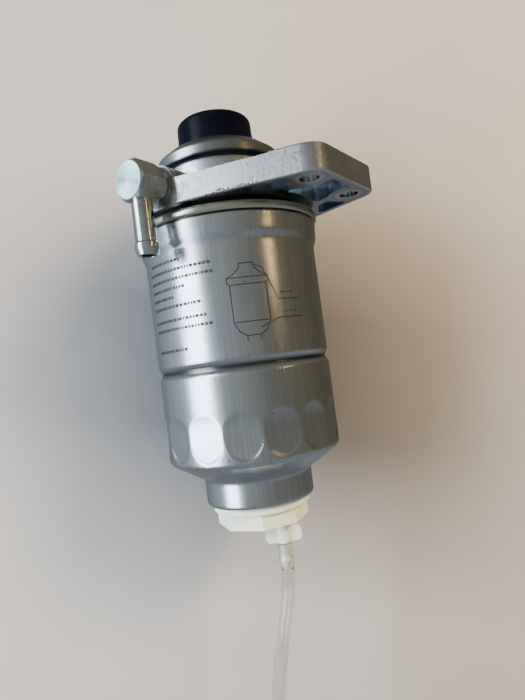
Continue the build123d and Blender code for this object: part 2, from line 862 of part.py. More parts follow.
def flat_cutter(radius):
    """Tool for one pressed flat: level floor, sloping round end below and a long fade at the top."""
    floor_x = radius - flat_depth
    half_width = sqrt(radius**2 - floor_x**2)
    low_centre_z = flat_bottom_z + half_width + flat_end_ramp
    reach = flat_depth + loose_gap
    spread = flat_end_ramp * reach / flat_depth
    fade = flat_fade * reach / flat_depth
    floor = Plane.YZ.offset(floor_x) * flat_outline(half_width, low_centre_z, flat_top_z)
    mouth_outline = flat_outline(half_width + spread, low_centre_z, flat_top_z + fade)
    mouth = Plane.YZ.offset(floor_x + reach) * mouth_outline
    tool = loft([floor, mouth], ruled=True)
    crease = tool.edges().filter_by(Axis.Y).filter_by_position(Axis.Z, flat_top_z, flat_top_z)
    return fillet(crease, flat_fade_r)


def can_shell():
    """Drawn can of even sheet: flare, body with groove and flats, shoulder, cone and neck."""
    shell = can_surface(0) - can_surface(can_sheet)
    shell -= upright(neck_mouth_r, neck_bottom_z - 1, neck_bottom_z + 2)
    return on_filter_axis(shell)


def element_cap(face_z, inward, inner_r):
    """Pressed end cap, a disc with a skirt that holds the pleats. Inward is the skirt's way."""
    outer = element_r + cap_sheet
    points = [
        (inner_r, face_z),
        (outer, face_z),
        (outer, face_z + inward * (cap_sheet + cap_skirt)),
        (outer - cap_sheet, face_z + inward * (cap_sheet + cap_skirt)),
        (outer - cap_sheet, face_z + inward * cap_sheet),
        (inner_r, face_z + inward * cap_sheet),
    ]
    return on_filter_axis(turned(points))


def filter_paper():
    """Pleated paper folded into a star, with its own thickness."""
    bottom_z = element_bottom_z + cap_sheet
    height = element_top_z - cap_sheet - bottom_z
    pleat_outer_r = element_r - pleat_margin
    pleat_inner_r = tube_r + pleat_to_tube
    outer, inner = [], []
    for index in range(pleat_count):
        for share, radius in ((0, pleat_outer_r), (0.5, pleat_inner_r)):
            angle = 2 * pi * (index + share) / pleat_count
            half = paper_thickness / 2
            deep = half if radius == pleat_outer_r else half * inner_fold_growth
            outer.append(((radius + deep) * cos(angle), (radius + deep) * sin(angle)))
            inner.append(((radius - deep) * cos(angle), (radius - deep) * sin(angle)))
    star = make_face(Polyline(*outer, close=True)) - make_face(Polyline(*inner, close=True))
    return on_filter_axis(Pos(0, 0, bottom_z) * extrude(star, height))


def centre_tube():
    """Tube inside the pleats, with rows of slots for the cleaned fuel."""
    bottom_z = element_bottom_z + cap_sheet
    top_z = element_top_z - cap_sheet
    tube = upright(tube_r, bottom_z, top_z) - upright(tube_r - tube_wall, bottom_z, top_z)
    slot = Pos(tube_r, 0, 0) * Box(6, tube_slot_width, tube_slot_height)
    pitch = (top_z - bottom_z) / tube_slot_rows
    for row in range(tube_slot_rows):
        for index in range(tube_slot_count):
            turn = 360 * (index + 0.5 * (row % 2)) / tube_slot_count
            tube -= Pos(0, 0, bottom_z + pitch * (row + 0.5)) * Rot(0, 0, turn) * slot
    return on_filter_axis(tube)


def element_grommet():
    """Rubber sealing sleeve between the element's top cap and the stud."""
    inner = stud_r + press_gap
    groove_r = grommet_r - grommet_groove
    points = [
        (inner, element_top_z - cap_sheet - grommet_below),
        (grommet_r, element_top_z - cap_sheet - grommet_below),
        (grommet_r, element_top_z - cap_sheet),
        (groove_r, element_top_z - cap_sheet),
        (groove_r, element_top_z),
        (grommet_r, element_top_z),
        (grommet_r, element_top_z + grommet_above),
        (inner, element_top_z + grommet_above),
    ]
    return on_filter_axis(turned(points))


def element_support():
    """Pressed spider with four sprung legs that stand on the can's cone."""
    half = support_sheet / 2
    support_foot_r = can_r - support_foot_inset
    support_heel_r = support_foot_r - support_foot_length
    seat_drop = (can_sheet + half + loose_gap) / cos(radians(cone_angle))
    top_z = element_bottom_z - half
    heel_z = cone_z(support_heel_r) + seat_drop
    foot_z = cone_z(support_foot_r) + seat_drop
    heel = (support_heel_r - support_heel_run, heel_z)
    points = [(0, top_z), (tube_r, top_z), heel, (support_foot_r, foot_z)]
    strip = sheet_face(points, [support_hub_bend_r, support_heel_bend_r], support_sheet)
    leg = Pos(0, support_leg_width / 2, 0) * extrude(Plane.XZ * strip, support_leg_width)
    hub_bottom = element_bottom_z - support_sheet
    spider = upright(tube_r - support_hub_inset, hub_bottom, element_bottom_z)
    for index in range(support_leg_count):
        spider += Rot(0, 0, 45 + 360 * index / support_leg_count) * leg
    return on_filter_axis(spider)


def neck_insert():
    """Threaded steel ring brazed inside the neck."""
    outer = neck_r - can_sheet - press_gap
    inner = plug_thread_r + thread_gap
    points = [
        (inner, insert_bottom_z),
        (outer, insert_bottom_z),
        (outer, insert_top_z),
        (inner, insert_top_z),
    ]
    return on_filter_axis(turned(points, [0.8, 0.5, 0.5, 0.8]))


def octagon(across_flats):
    """Regular octagon with a corner at the plug's measured angle."""
    circumradius = across_flats / 2 / cos(radians(22.5))
    return Rot(0, 0, octagon_vertex_angle) * RegularPolygon(circumradius, 8)


def drain_plug():
    """Moulded plug: threaded cup, ring flange, octagon with a hollow underside and the cock's boss."""
    ring_groove_r = plug_thread_r - plug_ring_groove
    plug_flange_r = neck_mouth_r + plug_flange_margin
    boss_top_z = cock_tip_z + loose_gap + cock_boss_cap
    points = [
        (0, plug_cup_floor_z),
        (plug_thread_r - plug_wall, plug_cup_floor_z),
        (plug_thread_r - plug_wall, insert_top_z),
        (plug_thread_r, insert_top_z),
        (plug_thread_r, insert_bottom_z),
        (ring_groove_r, insert_bottom_z - 0.5),
        (ring_groove_r, plug_flange_top_z),
        (plug_flange_r, plug_flange_top_z),
        (plug_flange_r, plug_flange_bottom_z),
        (0, plug_flange_bottom_z),
    ]
    body = turned(points, [0, 1, 0.5, 0.8, 0, 0, 0, 0.6, 0.8, 0])
    height = plug_flange_bottom_z - octagon_bottom_z
    body += Pos(0, 0, octagon_bottom_z) * extrude(octagon(octagon_across_flats), height)
    hollow = octagon(octagon_across_flats - 2 * octagon_wall)
    hollow -= Pos(cock_offset, 0) * Circle(cock_boss_r)
    for turn in (0, 90):
        hollow -= Rot(0, 0, octagon_vertex_angle + turn) * Rectangle(octagon_across_flats, octagon_web)
    body -= Pos(0, 0, octagon_bottom_z) * extrude(hollow, octagon_recess_depth)
    cock_way = upright(cock_thread_r + thread_gap, octagon_bottom_z, cock_tip_z + loose_gap)
    seal_bore = upright(cock_seal_bore_r, octagon_bottom_z, cock_ring_seat_z)
    inner_boss = upright(cock_boss_r - cock_boss_step, plug_cup_floor_z, boss_top_z)
    body += Pos(cock_offset, 0, 0) * inner_boss
    body -= Pos(cock_offset, 0, 0) * (cock_way + seal_bore)
    body -= Pos(cock_offset, 0, 0) * upright(cock_bore_r, cock_tip_z, boss_top_z)
    return on_filter_axis(body)


def rubber_ring(inner_r, section_r, middle_z):
    """Round-section sealing ring about Z."""
    return Pos(0, 0, middle_z) * Torus(inner_r + section_r, section_r)


def drain_cock():
    """Wing cock: threaded shank, sealing neck, collar, two wings and a barbed nozzle."""
    points = [
        (0, cock_tip_z),
        (cock_bore_r + cock_point_wall, cock_tip_z),
        (cock_thread_r, cock_thread_top_z),
        (cock_thread_r, cock_ring_seat_z + 0.6),
        (cock_neck_r, cock_ring_seat_z + 0.2),
        (cock_neck_r, cock_collar_top_z),
        (cock_collar_r, cock_collar_top_z),
        (cock_collar_r, cock_collar_bottom_z),
        (cock_hub_r, cock_collar_bottom_z - 1),
        (cock_hub_r, cuff_top_z + 0.4),
        (nozzle_r, cuff_top_z + 0.2),
        (nozzle_r, nozzle_barb_z + nozzle_barb_length),
        (nozzle_barb_r, nozzle_barb_z),
        (nozzle_r - nozzle_tip_taper, nozzle_end_z),
        (0, nozzle_end_z),
    ]
    body = turned(points)
    wing = RectangleRounded(wing_span, wing_top_z - wing_bottom_z, wing_corner_r)
    wings = extrude(Plane.XZ * wing, wing_thickness / 2, both=True)
    body += Rot(0, 0, wing_angle) * Pos(0, 0, (wing_top_z + wing_bottom_z) / 2) * wings
    body -= upright(cock_bore_r, nozzle_end_z, cock_thread_top_z - 1)
    cross = Plane.YZ * extrude(Circle(cock_bore_r), cock_cross_hole_length / 2, both=True)
    return Pos(cock_x, 0, 0) * (body - Pos(0, 0, cock_thread_top_z - cock_cross_hole_drop) * cross)


def cock_o_ring():
    """Sealing ring on the cock's neck, resting on its collar."""
    middle_z = cock_collar_top_z + cock_ring_section_r + press_gap
    ring = rubber_ring(cock_neck_r + press_gap, cock_ring_section_r, middle_z)
    return Pos(cock_x, 0, 0) * ring


def plug_o_ring():
    """Sealing ring between the plug's flange and the neck insert."""
    middle_z = plug_flange_top_z + plug_ring_section_r + press_gap
    ring_groove_r = plug_thread_r - plug_ring_groove
    return on_filter_axis(rubber_ring(ring_groove_r + press_gap, plug_ring_section_r, middle_z))


def hose_cuff():
    """End of the hose stretched over the nozzle's barb."""
    gap = press_gap
    points = [
        (nozzle_r + gap, cuff_top_z),
        (nozzle_r + gap + hose_wall + cuff_growth, cuff_top_z),
        (nozzle_r + gap + hose_wall + cuff_growth, nozzle_barb_z + cuff_slope_length),
        (nozzle_barb_r + gap + hose_wall, nozzle_barb_z),
        (hose_r, nozzle_end_z),
        (nozzle_r + gap, nozzle_end_z),
        (nozzle_barb_r + gap, nozzle_barb_z),
        (nozzle_r + gap, nozzle_barb_z + nozzle_barb_length + face_gap),
    ]
    return Pos(cock_x, 0, 0) * turned(points)


# Route of the hanging hose: sideways drift of each point and its depth below the nozzle's end
hose_route = [
    (0.0, face_gap),
    (0.3, 7.7),
    (3.5, 21.7),
    (10.4, 49.2),
    (17.4, 84.2),
    (20.9, 116.2),
    (21.8, 144.2),
    (21.2, 168.2),
]


def hose_points():
    """Route as points in space. The hose drifts away from the flange's free end."""
    lean = radians(hose_lean_angle)
    return [(cock_x - s * cos(lean), -s * sin(lean), nozzle_end_z - depth) for s, depth in hose_route]


def bend_radii(points, share=0.45):
    """Largest arc at each inner point: a share of the shorter run over the tangent of half the turn."""
    radii = []
    for a, b, c in zip(points, points[1:], points[2:]):
        before, after = Vector(*b) - Vector(*a), Vector(*c) - Vector(*b)
        turn = radians(before.get_angle(after))
        radii.append(share * min(before.length, after.length) / tan(turn / 2))
    return radii


def drain_hose():
    """Clear hose hanging from the nozzle, straight runs joined by tangent arcs."""
    points = hose_points()
    radii = bend_radii(points)
    path = FilletPolyline(*points, radius=radii)
    section = Plane(origin=points[0], z_dir=path % 0) * Circle(hose_r)
    hose = sweep(section, path=path)
    print("hose arc radii", [round(r, 1) for r in radii])
    print("hose length", round(path.length, 2))
    print("hose volume", round(hose.volume, 1), "of", round(pi * hose_r**2 * path.length, 1))
    return hose


def make_pieces():
    """Every piece by its name."""
    pieces = {
        "filter_head": filter_head(),
        "pump_cover": pump_cover(),
        "diaphragm": diaphragm(),
        "return_spring": return_spring(),
        "inlet_valve_seat": place_inlet_valve(valve_seat()),
        "inlet_valve_flap": place_inlet_valve(valve_flap()),
        "outlet_valve_seat": place_outlet_valve(valve_seat()),
        "outlet_valve_flap": place_outlet_valve(valve_flap()),
        "inlet_elbow": Pos(filter_x, 0, port_axis_z) * elbow(),
        "inlet_pipe": hose_pipe(),
        "inlet_washer": port_washer(),
        "centre_stud": centre_stud(),
        "head_gasket": head_gasket(),
        "seam_ring": seam_ring(),
        "top_plate": top_plate(),
        "can_shell": can_shell(),
        "element_grommet": element_grommet(),
        "element_top_cap": element_cap(element_top_z, -1, grommet_r - grommet_groove + press_gap),
        "filter_paper": filter_paper(),
        "centre_tube": centre_tube(),
        "element_bottom_cap": element_cap(element_bottom_z, 1, 0),
        "element_support": element_support(),
        "neck_insert": neck_insert(),
        "drain_plug": drain_plug(),
        "plug_o_ring": plug_o_ring(),
        "knob": knob(),
        "plunger_rod": plunger_rod(),
        "upper_plate": clamp_plate(upper_plate_z, plate_r),
        "lower_plate": clamp_plate(lower_plate_z, plate_r - plate_step),
        "cock_o_ring": cock_o_ring(),
        "drain_cock": drain_cock(),
        "hose_cuff": hose_cuff(),
        "drain_hose": drain_hose(),
    }
    for name in ("elbow", "pipe", "washer"):
        pieces["outlet_" + name] = other_side(pieces["inlet_" + name])
    return pieces


for name, piece in make_pieces().items():
    export_step(piece, f"parts/{name}.step")
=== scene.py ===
from math import cos, pi, radians, sin
from random import Random

import bmesh
import bpy
from bpy.props import FloatProperty, IntProperty, PointerProperty, StringProperty
from mathutils import Matrix, Vector


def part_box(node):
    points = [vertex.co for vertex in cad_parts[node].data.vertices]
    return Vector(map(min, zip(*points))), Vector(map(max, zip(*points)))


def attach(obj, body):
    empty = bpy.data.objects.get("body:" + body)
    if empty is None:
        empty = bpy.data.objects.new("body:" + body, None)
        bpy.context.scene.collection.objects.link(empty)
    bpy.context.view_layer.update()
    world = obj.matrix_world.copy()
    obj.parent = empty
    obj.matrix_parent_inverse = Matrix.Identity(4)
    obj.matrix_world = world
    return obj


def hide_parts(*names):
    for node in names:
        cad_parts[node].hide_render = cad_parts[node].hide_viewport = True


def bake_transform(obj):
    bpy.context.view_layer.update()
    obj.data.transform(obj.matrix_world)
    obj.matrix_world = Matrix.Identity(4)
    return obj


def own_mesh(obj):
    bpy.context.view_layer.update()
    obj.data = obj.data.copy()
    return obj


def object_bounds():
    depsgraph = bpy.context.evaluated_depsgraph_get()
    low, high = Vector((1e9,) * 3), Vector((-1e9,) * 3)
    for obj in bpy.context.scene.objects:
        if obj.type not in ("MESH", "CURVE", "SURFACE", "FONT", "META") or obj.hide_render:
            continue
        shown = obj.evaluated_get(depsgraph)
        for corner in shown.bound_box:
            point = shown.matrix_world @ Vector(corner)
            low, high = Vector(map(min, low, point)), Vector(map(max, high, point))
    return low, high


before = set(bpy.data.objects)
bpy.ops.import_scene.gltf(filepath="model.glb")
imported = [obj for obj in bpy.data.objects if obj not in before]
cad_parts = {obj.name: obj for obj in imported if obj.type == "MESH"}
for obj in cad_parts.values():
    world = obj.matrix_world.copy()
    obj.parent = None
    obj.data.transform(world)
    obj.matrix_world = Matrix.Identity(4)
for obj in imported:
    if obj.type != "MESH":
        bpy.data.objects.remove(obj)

bl_info = {
    "name": "Fuel filter with hand priming pump",
    "version": (1, 0, 0),
    "blender": (4, 5, 0),
    "location": "3D View > Sidebar > Filter",
    "description": "Finishes, hose, print and stage of a diesel fuel filter",
    "category": "Object",
}

MM = 0.001
CAD_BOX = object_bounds()
FLOOR_Z = CAD_BOX[0][2]


def node_centre(node):
    """Middle of a node's box at rest."""
    low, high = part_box(node)
    return (Vector(low) + Vector(high)) / 2


FILTER_X = node_centre("can_shell").x
PORT_Z = node_centre("inlet_washer").z
AXIS = (FILTER_X, 0, 0)

# Places on the casting, the can and the fittings, in millimetres
FLANGE_END_X = 9.6
MACHINED_FACE = (-0.1, 0.4)
HOLLOW_TOP_Z = -3.0
HOLLOW_INSET = 1.6
RIM_Z = -11.4
BOLT_Y = 17.5
BOLT_RING = (4.0, 6.4)
PARTING_LINE = (-13.7, -13.1)
FLASH_RUN = (-49.0, -26.0)
FLASH_Z = -11.1
SEAM_FOOT_Z = -19.4
GROOVE_Z = -84.0
COVER_CURL = (13.0, 14.4)
FITTING_FACE = (59.9, 60.4)


def side_plane(angle, body_radius, side):
    """Outward normal of a flange side and its distance from the origin, in millimetres."""
    lean = radians(angle)
    return Vector((sin(lean), side * cos(lean), 0)), body_radius + FILTER_X / MM * sin(lean)


def corner_plane(normal, reach, corner_r):
    """Plane across the middle of the round corner between a flange side and its end."""
    x = FLANGE_END_X - corner_r
    y = (reach - corner_r - normal.x * x) / normal.y
    middle = (normal + Vector((1, 0, 0))).normalized()
    return middle, middle.dot(Vector((x, y, 0))) + corner_r


# The flange's outline as planes: two sides, the end and the round corners between them
FRONT_SIDE = side_plane(angle=19.0, body_radius=45.3, side=-1)
BACK_SIDE = side_plane(angle=12.7, body_radius=42.0, side=1)
FLANGE_PLANES = [
    FRONT_SIDE,
    BACK_SIDE,
    (Vector((1, 0, 0)), FLANGE_END_X),
    corner_plane(*FRONT_SIDE, corner_r=11.0),
    corner_plane(*BACK_SIDE, corner_r=8.6),
]
HOSE_TOP = Vector((node_centre("hose_cuff").x, 0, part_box("hose_cuff")[0][2]))


# Settings that a user would change

class StageSettings(bpy.types.PropertyGroup):
    """Camera, light and backdrop."""

    azimuth: FloatProperty(
        name="Azimuth", description="Camera's place round the filter",
        default=radians(38.8), subtype="ANGLE",
    )
    distance: FloatProperty(
        name="Distance", description="Camera to the filter's axis",
        default=0.2616, unit="LENGTH",
    )
    height: FloatProperty(
        name="Height", description="Camera's height in the part's frame",
        default=-0.0855, unit="LENGTH",
    )
    yaw: FloatProperty(
        name="Yaw", description="Turn of the camera to its right of the filter's axis",
        default=radians(2.196), subtype="ANGLE",
    )
    pitch: FloatProperty(
        name="Pitch", description="Tilt of the camera upward",
        default=radians(1.735), subtype="ANGLE",
    )
    roll: FloatProperty(
        name="Roll", description="Turn of the camera about its own line of sight",
        default=radians(-7.417), subtype="ANGLE",
    )
    lens: FloatProperty(
        name="Lens", description="Focal length on a 36 mm sensor, in millimetres",
        default=26.777,
    )
    wall_gap: FloatProperty(
        name="Wall gap", description="Filter's axis to the wall behind it",
        default=0.064, unit="LENGTH",
    )
    backdrop: StringProperty(name="Backdrop", description="Colour of wall and floor", default="BFB5AA")


class FinishSettings(bpy.types.PropertyGroup):
    """Base colours of the finishes, as sRGB hex."""

    casting: StringProperty(name="Casting", description="Blasted aluminium of the head", default="E2E2E1")
    cover: StringProperty(name="Cover", description="Zinc plate of the pump cover", default="BCC0BA")
    # Colours only the elbows' end faces; its pale cyan is a painted reflection of the cool window.
    fitting: StringProperty(
        name="Fittings", description="Bright zinc plate of elbows and pipes",
        default="D6F2EF",
    )
    can: StringProperty(name="Can", description="Tinned steel of the can", default="D8DBDC")
    steel: StringProperty(name="Steel", description="Plain steel inside the filter", default="8E8F90")
    knob: StringProperty(name="Knob", description="Moulded plastic of the knob", default="06080F")
    nylon: StringProperty(name="Nylon", description="Natural nylon of plug and cock", default="F4FAE4")
    hose: StringProperty(name="Hose", description="Clear vinyl of the hose", default="FBFCFA")
    rubber: StringProperty(name="Rubber", description="Black nitrile rubber", default="17171A")
    paper: StringProperty(name="Paper", description="Resin-treated filter paper", default="C7A873")
    brass: StringProperty(name="Brass", description="Turned brass of the valve seats", default="C49A52")
    ink: StringProperty(name="Ink", description="Print on the can", default="15171B")


class HoseSettings(bpy.types.PropertyGroup):
    """The hanging drain hose."""

    diameter: FloatProperty(
        name="Diameter", description="Outside diameter of the hose",
        default=0.0061, unit="LENGTH",
    )
    wall: FloatProperty(name="Wall", description="Wall thickness of the hose", default=0.001, unit="LENGTH")
    lean: FloatProperty(
        name="Lean", description="Bearing of the hose's drift from -X",
        default=radians(38.8), subtype="ANGLE",
    )


class PrintSettings(bpy.types.PropertyGroup):
    """Print on the can: ruled lines and an outline of the filter."""

    radius: FloatProperty(
        name="Radius", description="Can's outer radius under the print",
        default=0.042, unit="LENGTH",
    )
    thickness: FloatProperty(
        name="Thickness", description="Height of the ink",
        default=0.00003, unit="LENGTH",
    )
    seed: IntProperty(name="Seed", description="Seed of the dash lengths", default=7)


# Nodes and colours

def linear(hex_colour):
    """sRGB hex to a linear colour with full alpha."""
    parts = [int(hex_colour[i : i + 2], 16) / 255 for i in (0, 2, 4)]
    return [p / 12.92 if p <= 0.04045 else ((p + 0.055) / 1.055) ** 2.4 for p in parts] + [1.0]


def put(tree, kind, inputs=None, **settings):
    """Adds a node with its settings. Inputs are values or sockets to link, by name or number."""
    node = tree.nodes.new(kind)
    for name, value in settings.items():
        setattr(node, name, value)
    for name, value in (inputs or {}).items():
        if isinstance(value, bpy.types.NodeSocket):
            tree.links.new(value, node.inputs[name])
        else:
            node.inputs[name].default_value = value
    return node


def new_finish(name, **sockets):
    """Material with one Principled shader. Returns the material, its tree and the shader."""
    material = bpy.data.materials.new(name)
    material.use_nodes = True
    tree = material.node_tree
    tree.nodes.clear()
    shader = put(tree, "ShaderNodeBsdfPrincipled", {k.replace("_", " "): v for k, v in sockets.items()})
    put(tree, "ShaderNodeOutputMaterial", {"Surface": shader.outputs["BSDF"]})
    return material, tree, shader


def millimetres(tree, centre=(0, 0, 0), stretch=(1, 1, 1)):
    """The piece's own coordinates in millimetres from a centre, squeezed by a stretch on each axis."""
    here = put(tree, "ShaderNodeTexCoord").outputs["Object"]
    scale = [1 / (MM * s) for s in stretch]
    shift = [-c * s for c, s in zip(centre, scale)]
    return put(tree, "ShaderNodeMapping", {"Vector": here, "Scale": scale, "Location": shift}).outputs["Vector"]


def clouds(tree, grain, detail=2.0, centre=(0, 0, 0), stretch=(1, 1, 1)):
    """Cloudy pattern whose spots are about a grain, in millimetres, across."""
    coords = millimetres(tree, centre, stretch)
    return put(tree, "ShaderNodeTexNoise", {"Vector": coords, "Scale": 0.5 / grain, "Detail": detail}).outputs["Fac"]


def two_tones(tree, pattern, first, second):
    """Two hex colours in the patches of a cloudy pattern."""
    share = put(tree, "ShaderNodeMapRange", {0: pattern, 1: 0.3, 2: 0.7}).outputs[0]
    return put(tree, "ShaderNodeMix", {0: share, 6: linear(first), 7: linear(second)}, data_type="RGBA").outputs[2]


def uneven(tree, shader, pattern, colours, roughness, relief=None):
    """Colour, roughness and relief that follow one pattern. Relief is a depth in millimetres and a strength."""
    tree.links.new(two_tones(tree, pattern, *colours), shader.inputs["Base Color"])
    low, high = roughness
    rough = put(tree, "ShaderNodeMapRange", {0: pattern, 1: 0.3, 2: 0.7, 3: low, 4: high}).outputs[0]
    tree.links.new(rough, shader.inputs["Roughness"])
    if relief:
        depth, strength = relief
        raised = put(tree, "ShaderNodeBump", {"Height": pattern, "Distance": depth * MM, "Strength": strength})
        tree.links.new(raised.outputs[0], shader.inputs["Normal"])


def band(tree, value, low, high):
    """One between two values, else nothing."""
    above = put(tree, "ShaderNodeMath", {0: value, 1: low}, operation="GREATER_THAN").outputs[0]
    below = put(tree, "ShaderNodeMath", {0: value, 1: high}, operation="LESS_THAN").outputs[0]
    return put(tree, "ShaderNodeMath", {0: above, 1: below}, operation="MULTIPLY").outputs[0]


# Finishes

def blasted_casting(colour):
    """Blasted aluminium die casting: grainy and bright outside, a smooth skin in the underside's hollows, painted
    darker and bluer there as shade and reflection.
    """
    material, tree, shader = new_finish("blasted_aluminium_casting", Metallic=1.0)
    coords = millimetres(tree)
    # Real blasting pits are about 0.3 mm across. They are drawn two to three times as coarse, so that they show.
    grit = clouds(tree, 0.9, 3.0)
    sparkle = clouds(tree, 0.7)
    cloud = clouds(tree, 14.0)
    place = put(tree, "ShaderNodeSeparateXYZ", {0: coords}).outputs
    machined = band(tree, place["Z"], *MACHINED_FACE)
    under = hollow_mask(tree, coords, place["Z"])
    pitted = put(tree, "ShaderNodeMapRange", {0: sparkle, 1: 0.3, 2: 0.7, 3: 0.28, 4: 0.5}).outputs[0]
    smooth = put(tree, "ShaderNodeMapRange", {0: cloud, 1: 0.3, 2: 0.7, 3: 0.12, 4: 0.24}).outputs[0]
    outside = put(tree, "ShaderNodeMix", {0: machined, 2: pitted, 3: 0.24}).outputs[0]
    rough = put(tree, "ShaderNodeMix", {0: under, 2: outside, 3: smooth}).outputs[0]
    tree.links.new(rough, shader.inputs["Roughness"])
    mottled = put(tree, "ShaderNodeMath", {0: cloud, 1: sparkle}, operation="ADD").outputs[0]
    share = put(tree, "ShaderNodeMapRange", {0: mottled, 1: 0.7, 2: 1.3}).outputs[0]
    skin = put(tree, "ShaderNodeMix", {0: share, 6: linear(colour), 7: linear("BBBAB6")}, data_type="RGBA").outputs[2]
    # The underside's colour is painted shade and painted blue reflection, with painted highlights round the bolt
    # holes.
    below = underside_painted_shade(tree, coords, place["Z"])
    both = put(tree, "ShaderNodeMix", {0: under, 6: skin, 7: below}, data_type="RGBA").outputs[2]
    tree.links.new(both, shader.inputs["Base Color"])
    line = band(tree, place["X"], *PARTING_LINE)
    seam = put(tree, "ShaderNodeMath", {0: line, 1: 2.0, 2: grit}, operation="MULTIPLY_ADD").outputs[0]
    waves = put(tree, "ShaderNodeMapRange", {0: cloud, 1: 0.3, 2: 0.7, 3: 0.3, 4: 0.7}).outputs[0]
    relief = put(tree, "ShaderNodeMix", {0: under, 2: seam, 3: waves}).outputs[0]
    raised = put(tree, "ShaderNodeBump", {"Height": relief, "Distance": 0.1 * MM, "Strength": 0.5})
    tree.links.new(raised.outputs[0], shader.inputs["Normal"])
    return material


def underside_painted_shade(tree, coords, height):
    """Painted shade and painted blue reflection under the flange: blue-grey in the hollows, grey on the rim below
    them, and a paler painted highlight on the rings round the bolt holes.
    """
    rim = put(tree, "ShaderNodeMath", {0: height, 1: RIM_Z}, operation="LESS_THAN").outputs[0]
    tones = {0: rim, 6: linear("C6CED8"), 7: linear("B4B8BC")}
    colour = put(tree, "ShaderNodeMix", tones, data_type="RGBA").outputs[2]
    for bolt_y in (-BOLT_Y, BOLT_Y):
        off = put(tree, "ShaderNodeVectorMath", {0: coords, 1: (0, bolt_y, 0)}, operation="SUBTRACT").outputs[0]
        level = put(tree, "ShaderNodeVectorMath", {0: off, 1: (1, 1, 0)}, operation="MULTIPLY").outputs[0]
        away = put(tree, "ShaderNodeVectorMath", {0: level}, operation="LENGTH").outputs["Value"]
        # Painted highlight on the rings round the bolt holes.
        ring = band(tree, away, *BOLT_RING)
        colour = put(tree, "ShaderNodeMix", {0: ring, 6: colour, 7: linear("D4D7D9")}, data_type="RGBA").outputs[2]
    return colour


def hollow_mask(tree, coords, height):
    """One well inside the flange's outline and below its top, nothing on the outer walls."""
    mask = put(tree, "ShaderNodeMath", {0: height, 1: HOLLOW_TOP_Z}, operation="LESS_THAN").outputs[0]
    for normal, reach in FLANGE_PLANES:
        across = put(tree, "ShaderNodeVectorMath", {0: coords, 1: tuple(normal)}, operation="DOT_PRODUCT")
        distance = {0: across.outputs["Value"], 1: reach - HOLLOW_INSET}
        inside = put(tree, "ShaderNodeMath", distance, operation="LESS_THAN").outputs[0]
        mask = put(tree, "ShaderNodeMath", {0: mask, 1: inside}, operation="MULTIPLY").outputs[0]
    return mask


def plated_cover(colour):
    """Pressed steel with a thin zinc plate: satin, faint rings from the pressing, and a painted shade, dark
    blue-grey, on the lower curl of its edge.
    """
    material, tree, shader = new_finish("zinc_plated_pressing", Metallic=1.0)
    coords = millimetres(tree, AXIS)
    cloud = clouds(tree, 8.0, 4.0, AXIS)
    rough = put(tree, "ShaderNodeMapRange", {0: cloud, 1: 0.3, 2: 0.7, 3: 0.26, 4: 0.36}).outputs[0]
    tree.links.new(rough, shader.inputs["Roughness"])
    plate = two_tones(tree, cloud, colour, "999D94")
    height = put(tree, "ShaderNodeSeparateXYZ", {0: coords}).outputs["Z"]
    # Painted shade: the lower curl of the edge, which faces down, is darkened.
    low, high = COVER_CURL
    painted_curl_shade = put(tree, "ShaderNodeMapRange", {0: height, 1: low, 2: high, 3: 1, 4: 0}).outputs[0]
    both = put(tree, "ShaderNodeMix", {0: painted_curl_shade, 6: plate, 7: linear("3C424C")}, data_type="RGBA").outputs[2]
    tree.links.new(both, shader.inputs["Base Color"])
    ripple = {"Vector": coords, "Scale": 0.22, "Distortion": 0.4, "Detail": 2.0}
    rings = put(tree, "ShaderNodeTexWave", ripple, wave_type="RINGS", rings_direction="Z").outputs["Fac"]
    raised = put(tree, "ShaderNodeBump", {"Height": rings, "Distance": 0.012 * MM, "Strength": 0.4})
    tree.links.new(raised.outputs[0], shader.inputs["Normal"])
    return material


def turned_fitting(name, colour, side):
    """Zinc plate on turned hexagon bar: end face with lathe rings that fan the light, painted pale cyan as a painted
    reflection of the cool window, and olive-grey flanks.
    """
    material, tree, shader = new_finish(name, Metallic=1.0)
    centre = (FILTER_X, 0, PORT_Z)
    coords = millimetres(tree, centre)
    cloud = clouds(tree, 5.0, 3.0, centre)
    along = put(tree, "ShaderNodeSeparateXYZ", {0: coords}).outputs["Y"]
    start, stop = (side * level for level in FITTING_FACE)
    face = put(tree, "ShaderNodeMapRange", {0: along, 1: start, 2: stop}).outputs[0]
    # Painted reflection: the end face's pale cyan stands in for the cool window it mirrors.
    flank = two_tones(tree, cloud, "D4D8CC", "B8BCB0")
    both = put(tree, "ShaderNodeMix", {0: face, 6: flank, 7: linear(colour)}, data_type="RGBA").outputs[2]
    tree.links.new(both, shader.inputs["Base Color"])
    rough = put(tree, "ShaderNodeMapRange", {0: cloud, 1: 0.3, 2: 0.7, 3: 0.2, 4: 0.32}).outputs[0]
    tree.links.new(rough, shader.inputs["Roughness"])
    around = put(tree, "ShaderNodeVectorMath", {0: coords, 1: (0, 1, 0)}, operation="CROSS_PRODUCT").outputs["Vector"]
    tree.links.new(around, shader.inputs["Tangent"])
    fan = put(tree, "ShaderNodeMath", {0: face, 1: 0.9}, operation="MULTIPLY").outputs[0]
    tree.links.new(fan, shader.inputs["Anisotropic"])
    # Real tool marks are about 0.1 mm apart. The rings are drawn 0.6 mm apart, so that they show.
    lathe = {"Vector": coords, "Scale": 0.5, "Distortion": 0.4, "Detail": 1.0}
    rings = put(tree, "ShaderNodeTexWave", lathe, wave_type="RINGS", rings_direction="Y").outputs["Fac"]
    turned = put(tree, "ShaderNodeMath", {0: rings, 1: face}, operation="MULTIPLY").outputs[0]
    raised = put(tree, "ShaderNodeBump", {"Height": turned, "Distance": 0.03 * MM, "Strength": 0.7})
    tree.links.new(raised.outputs[0], shader.inputs["Normal"])
    return material


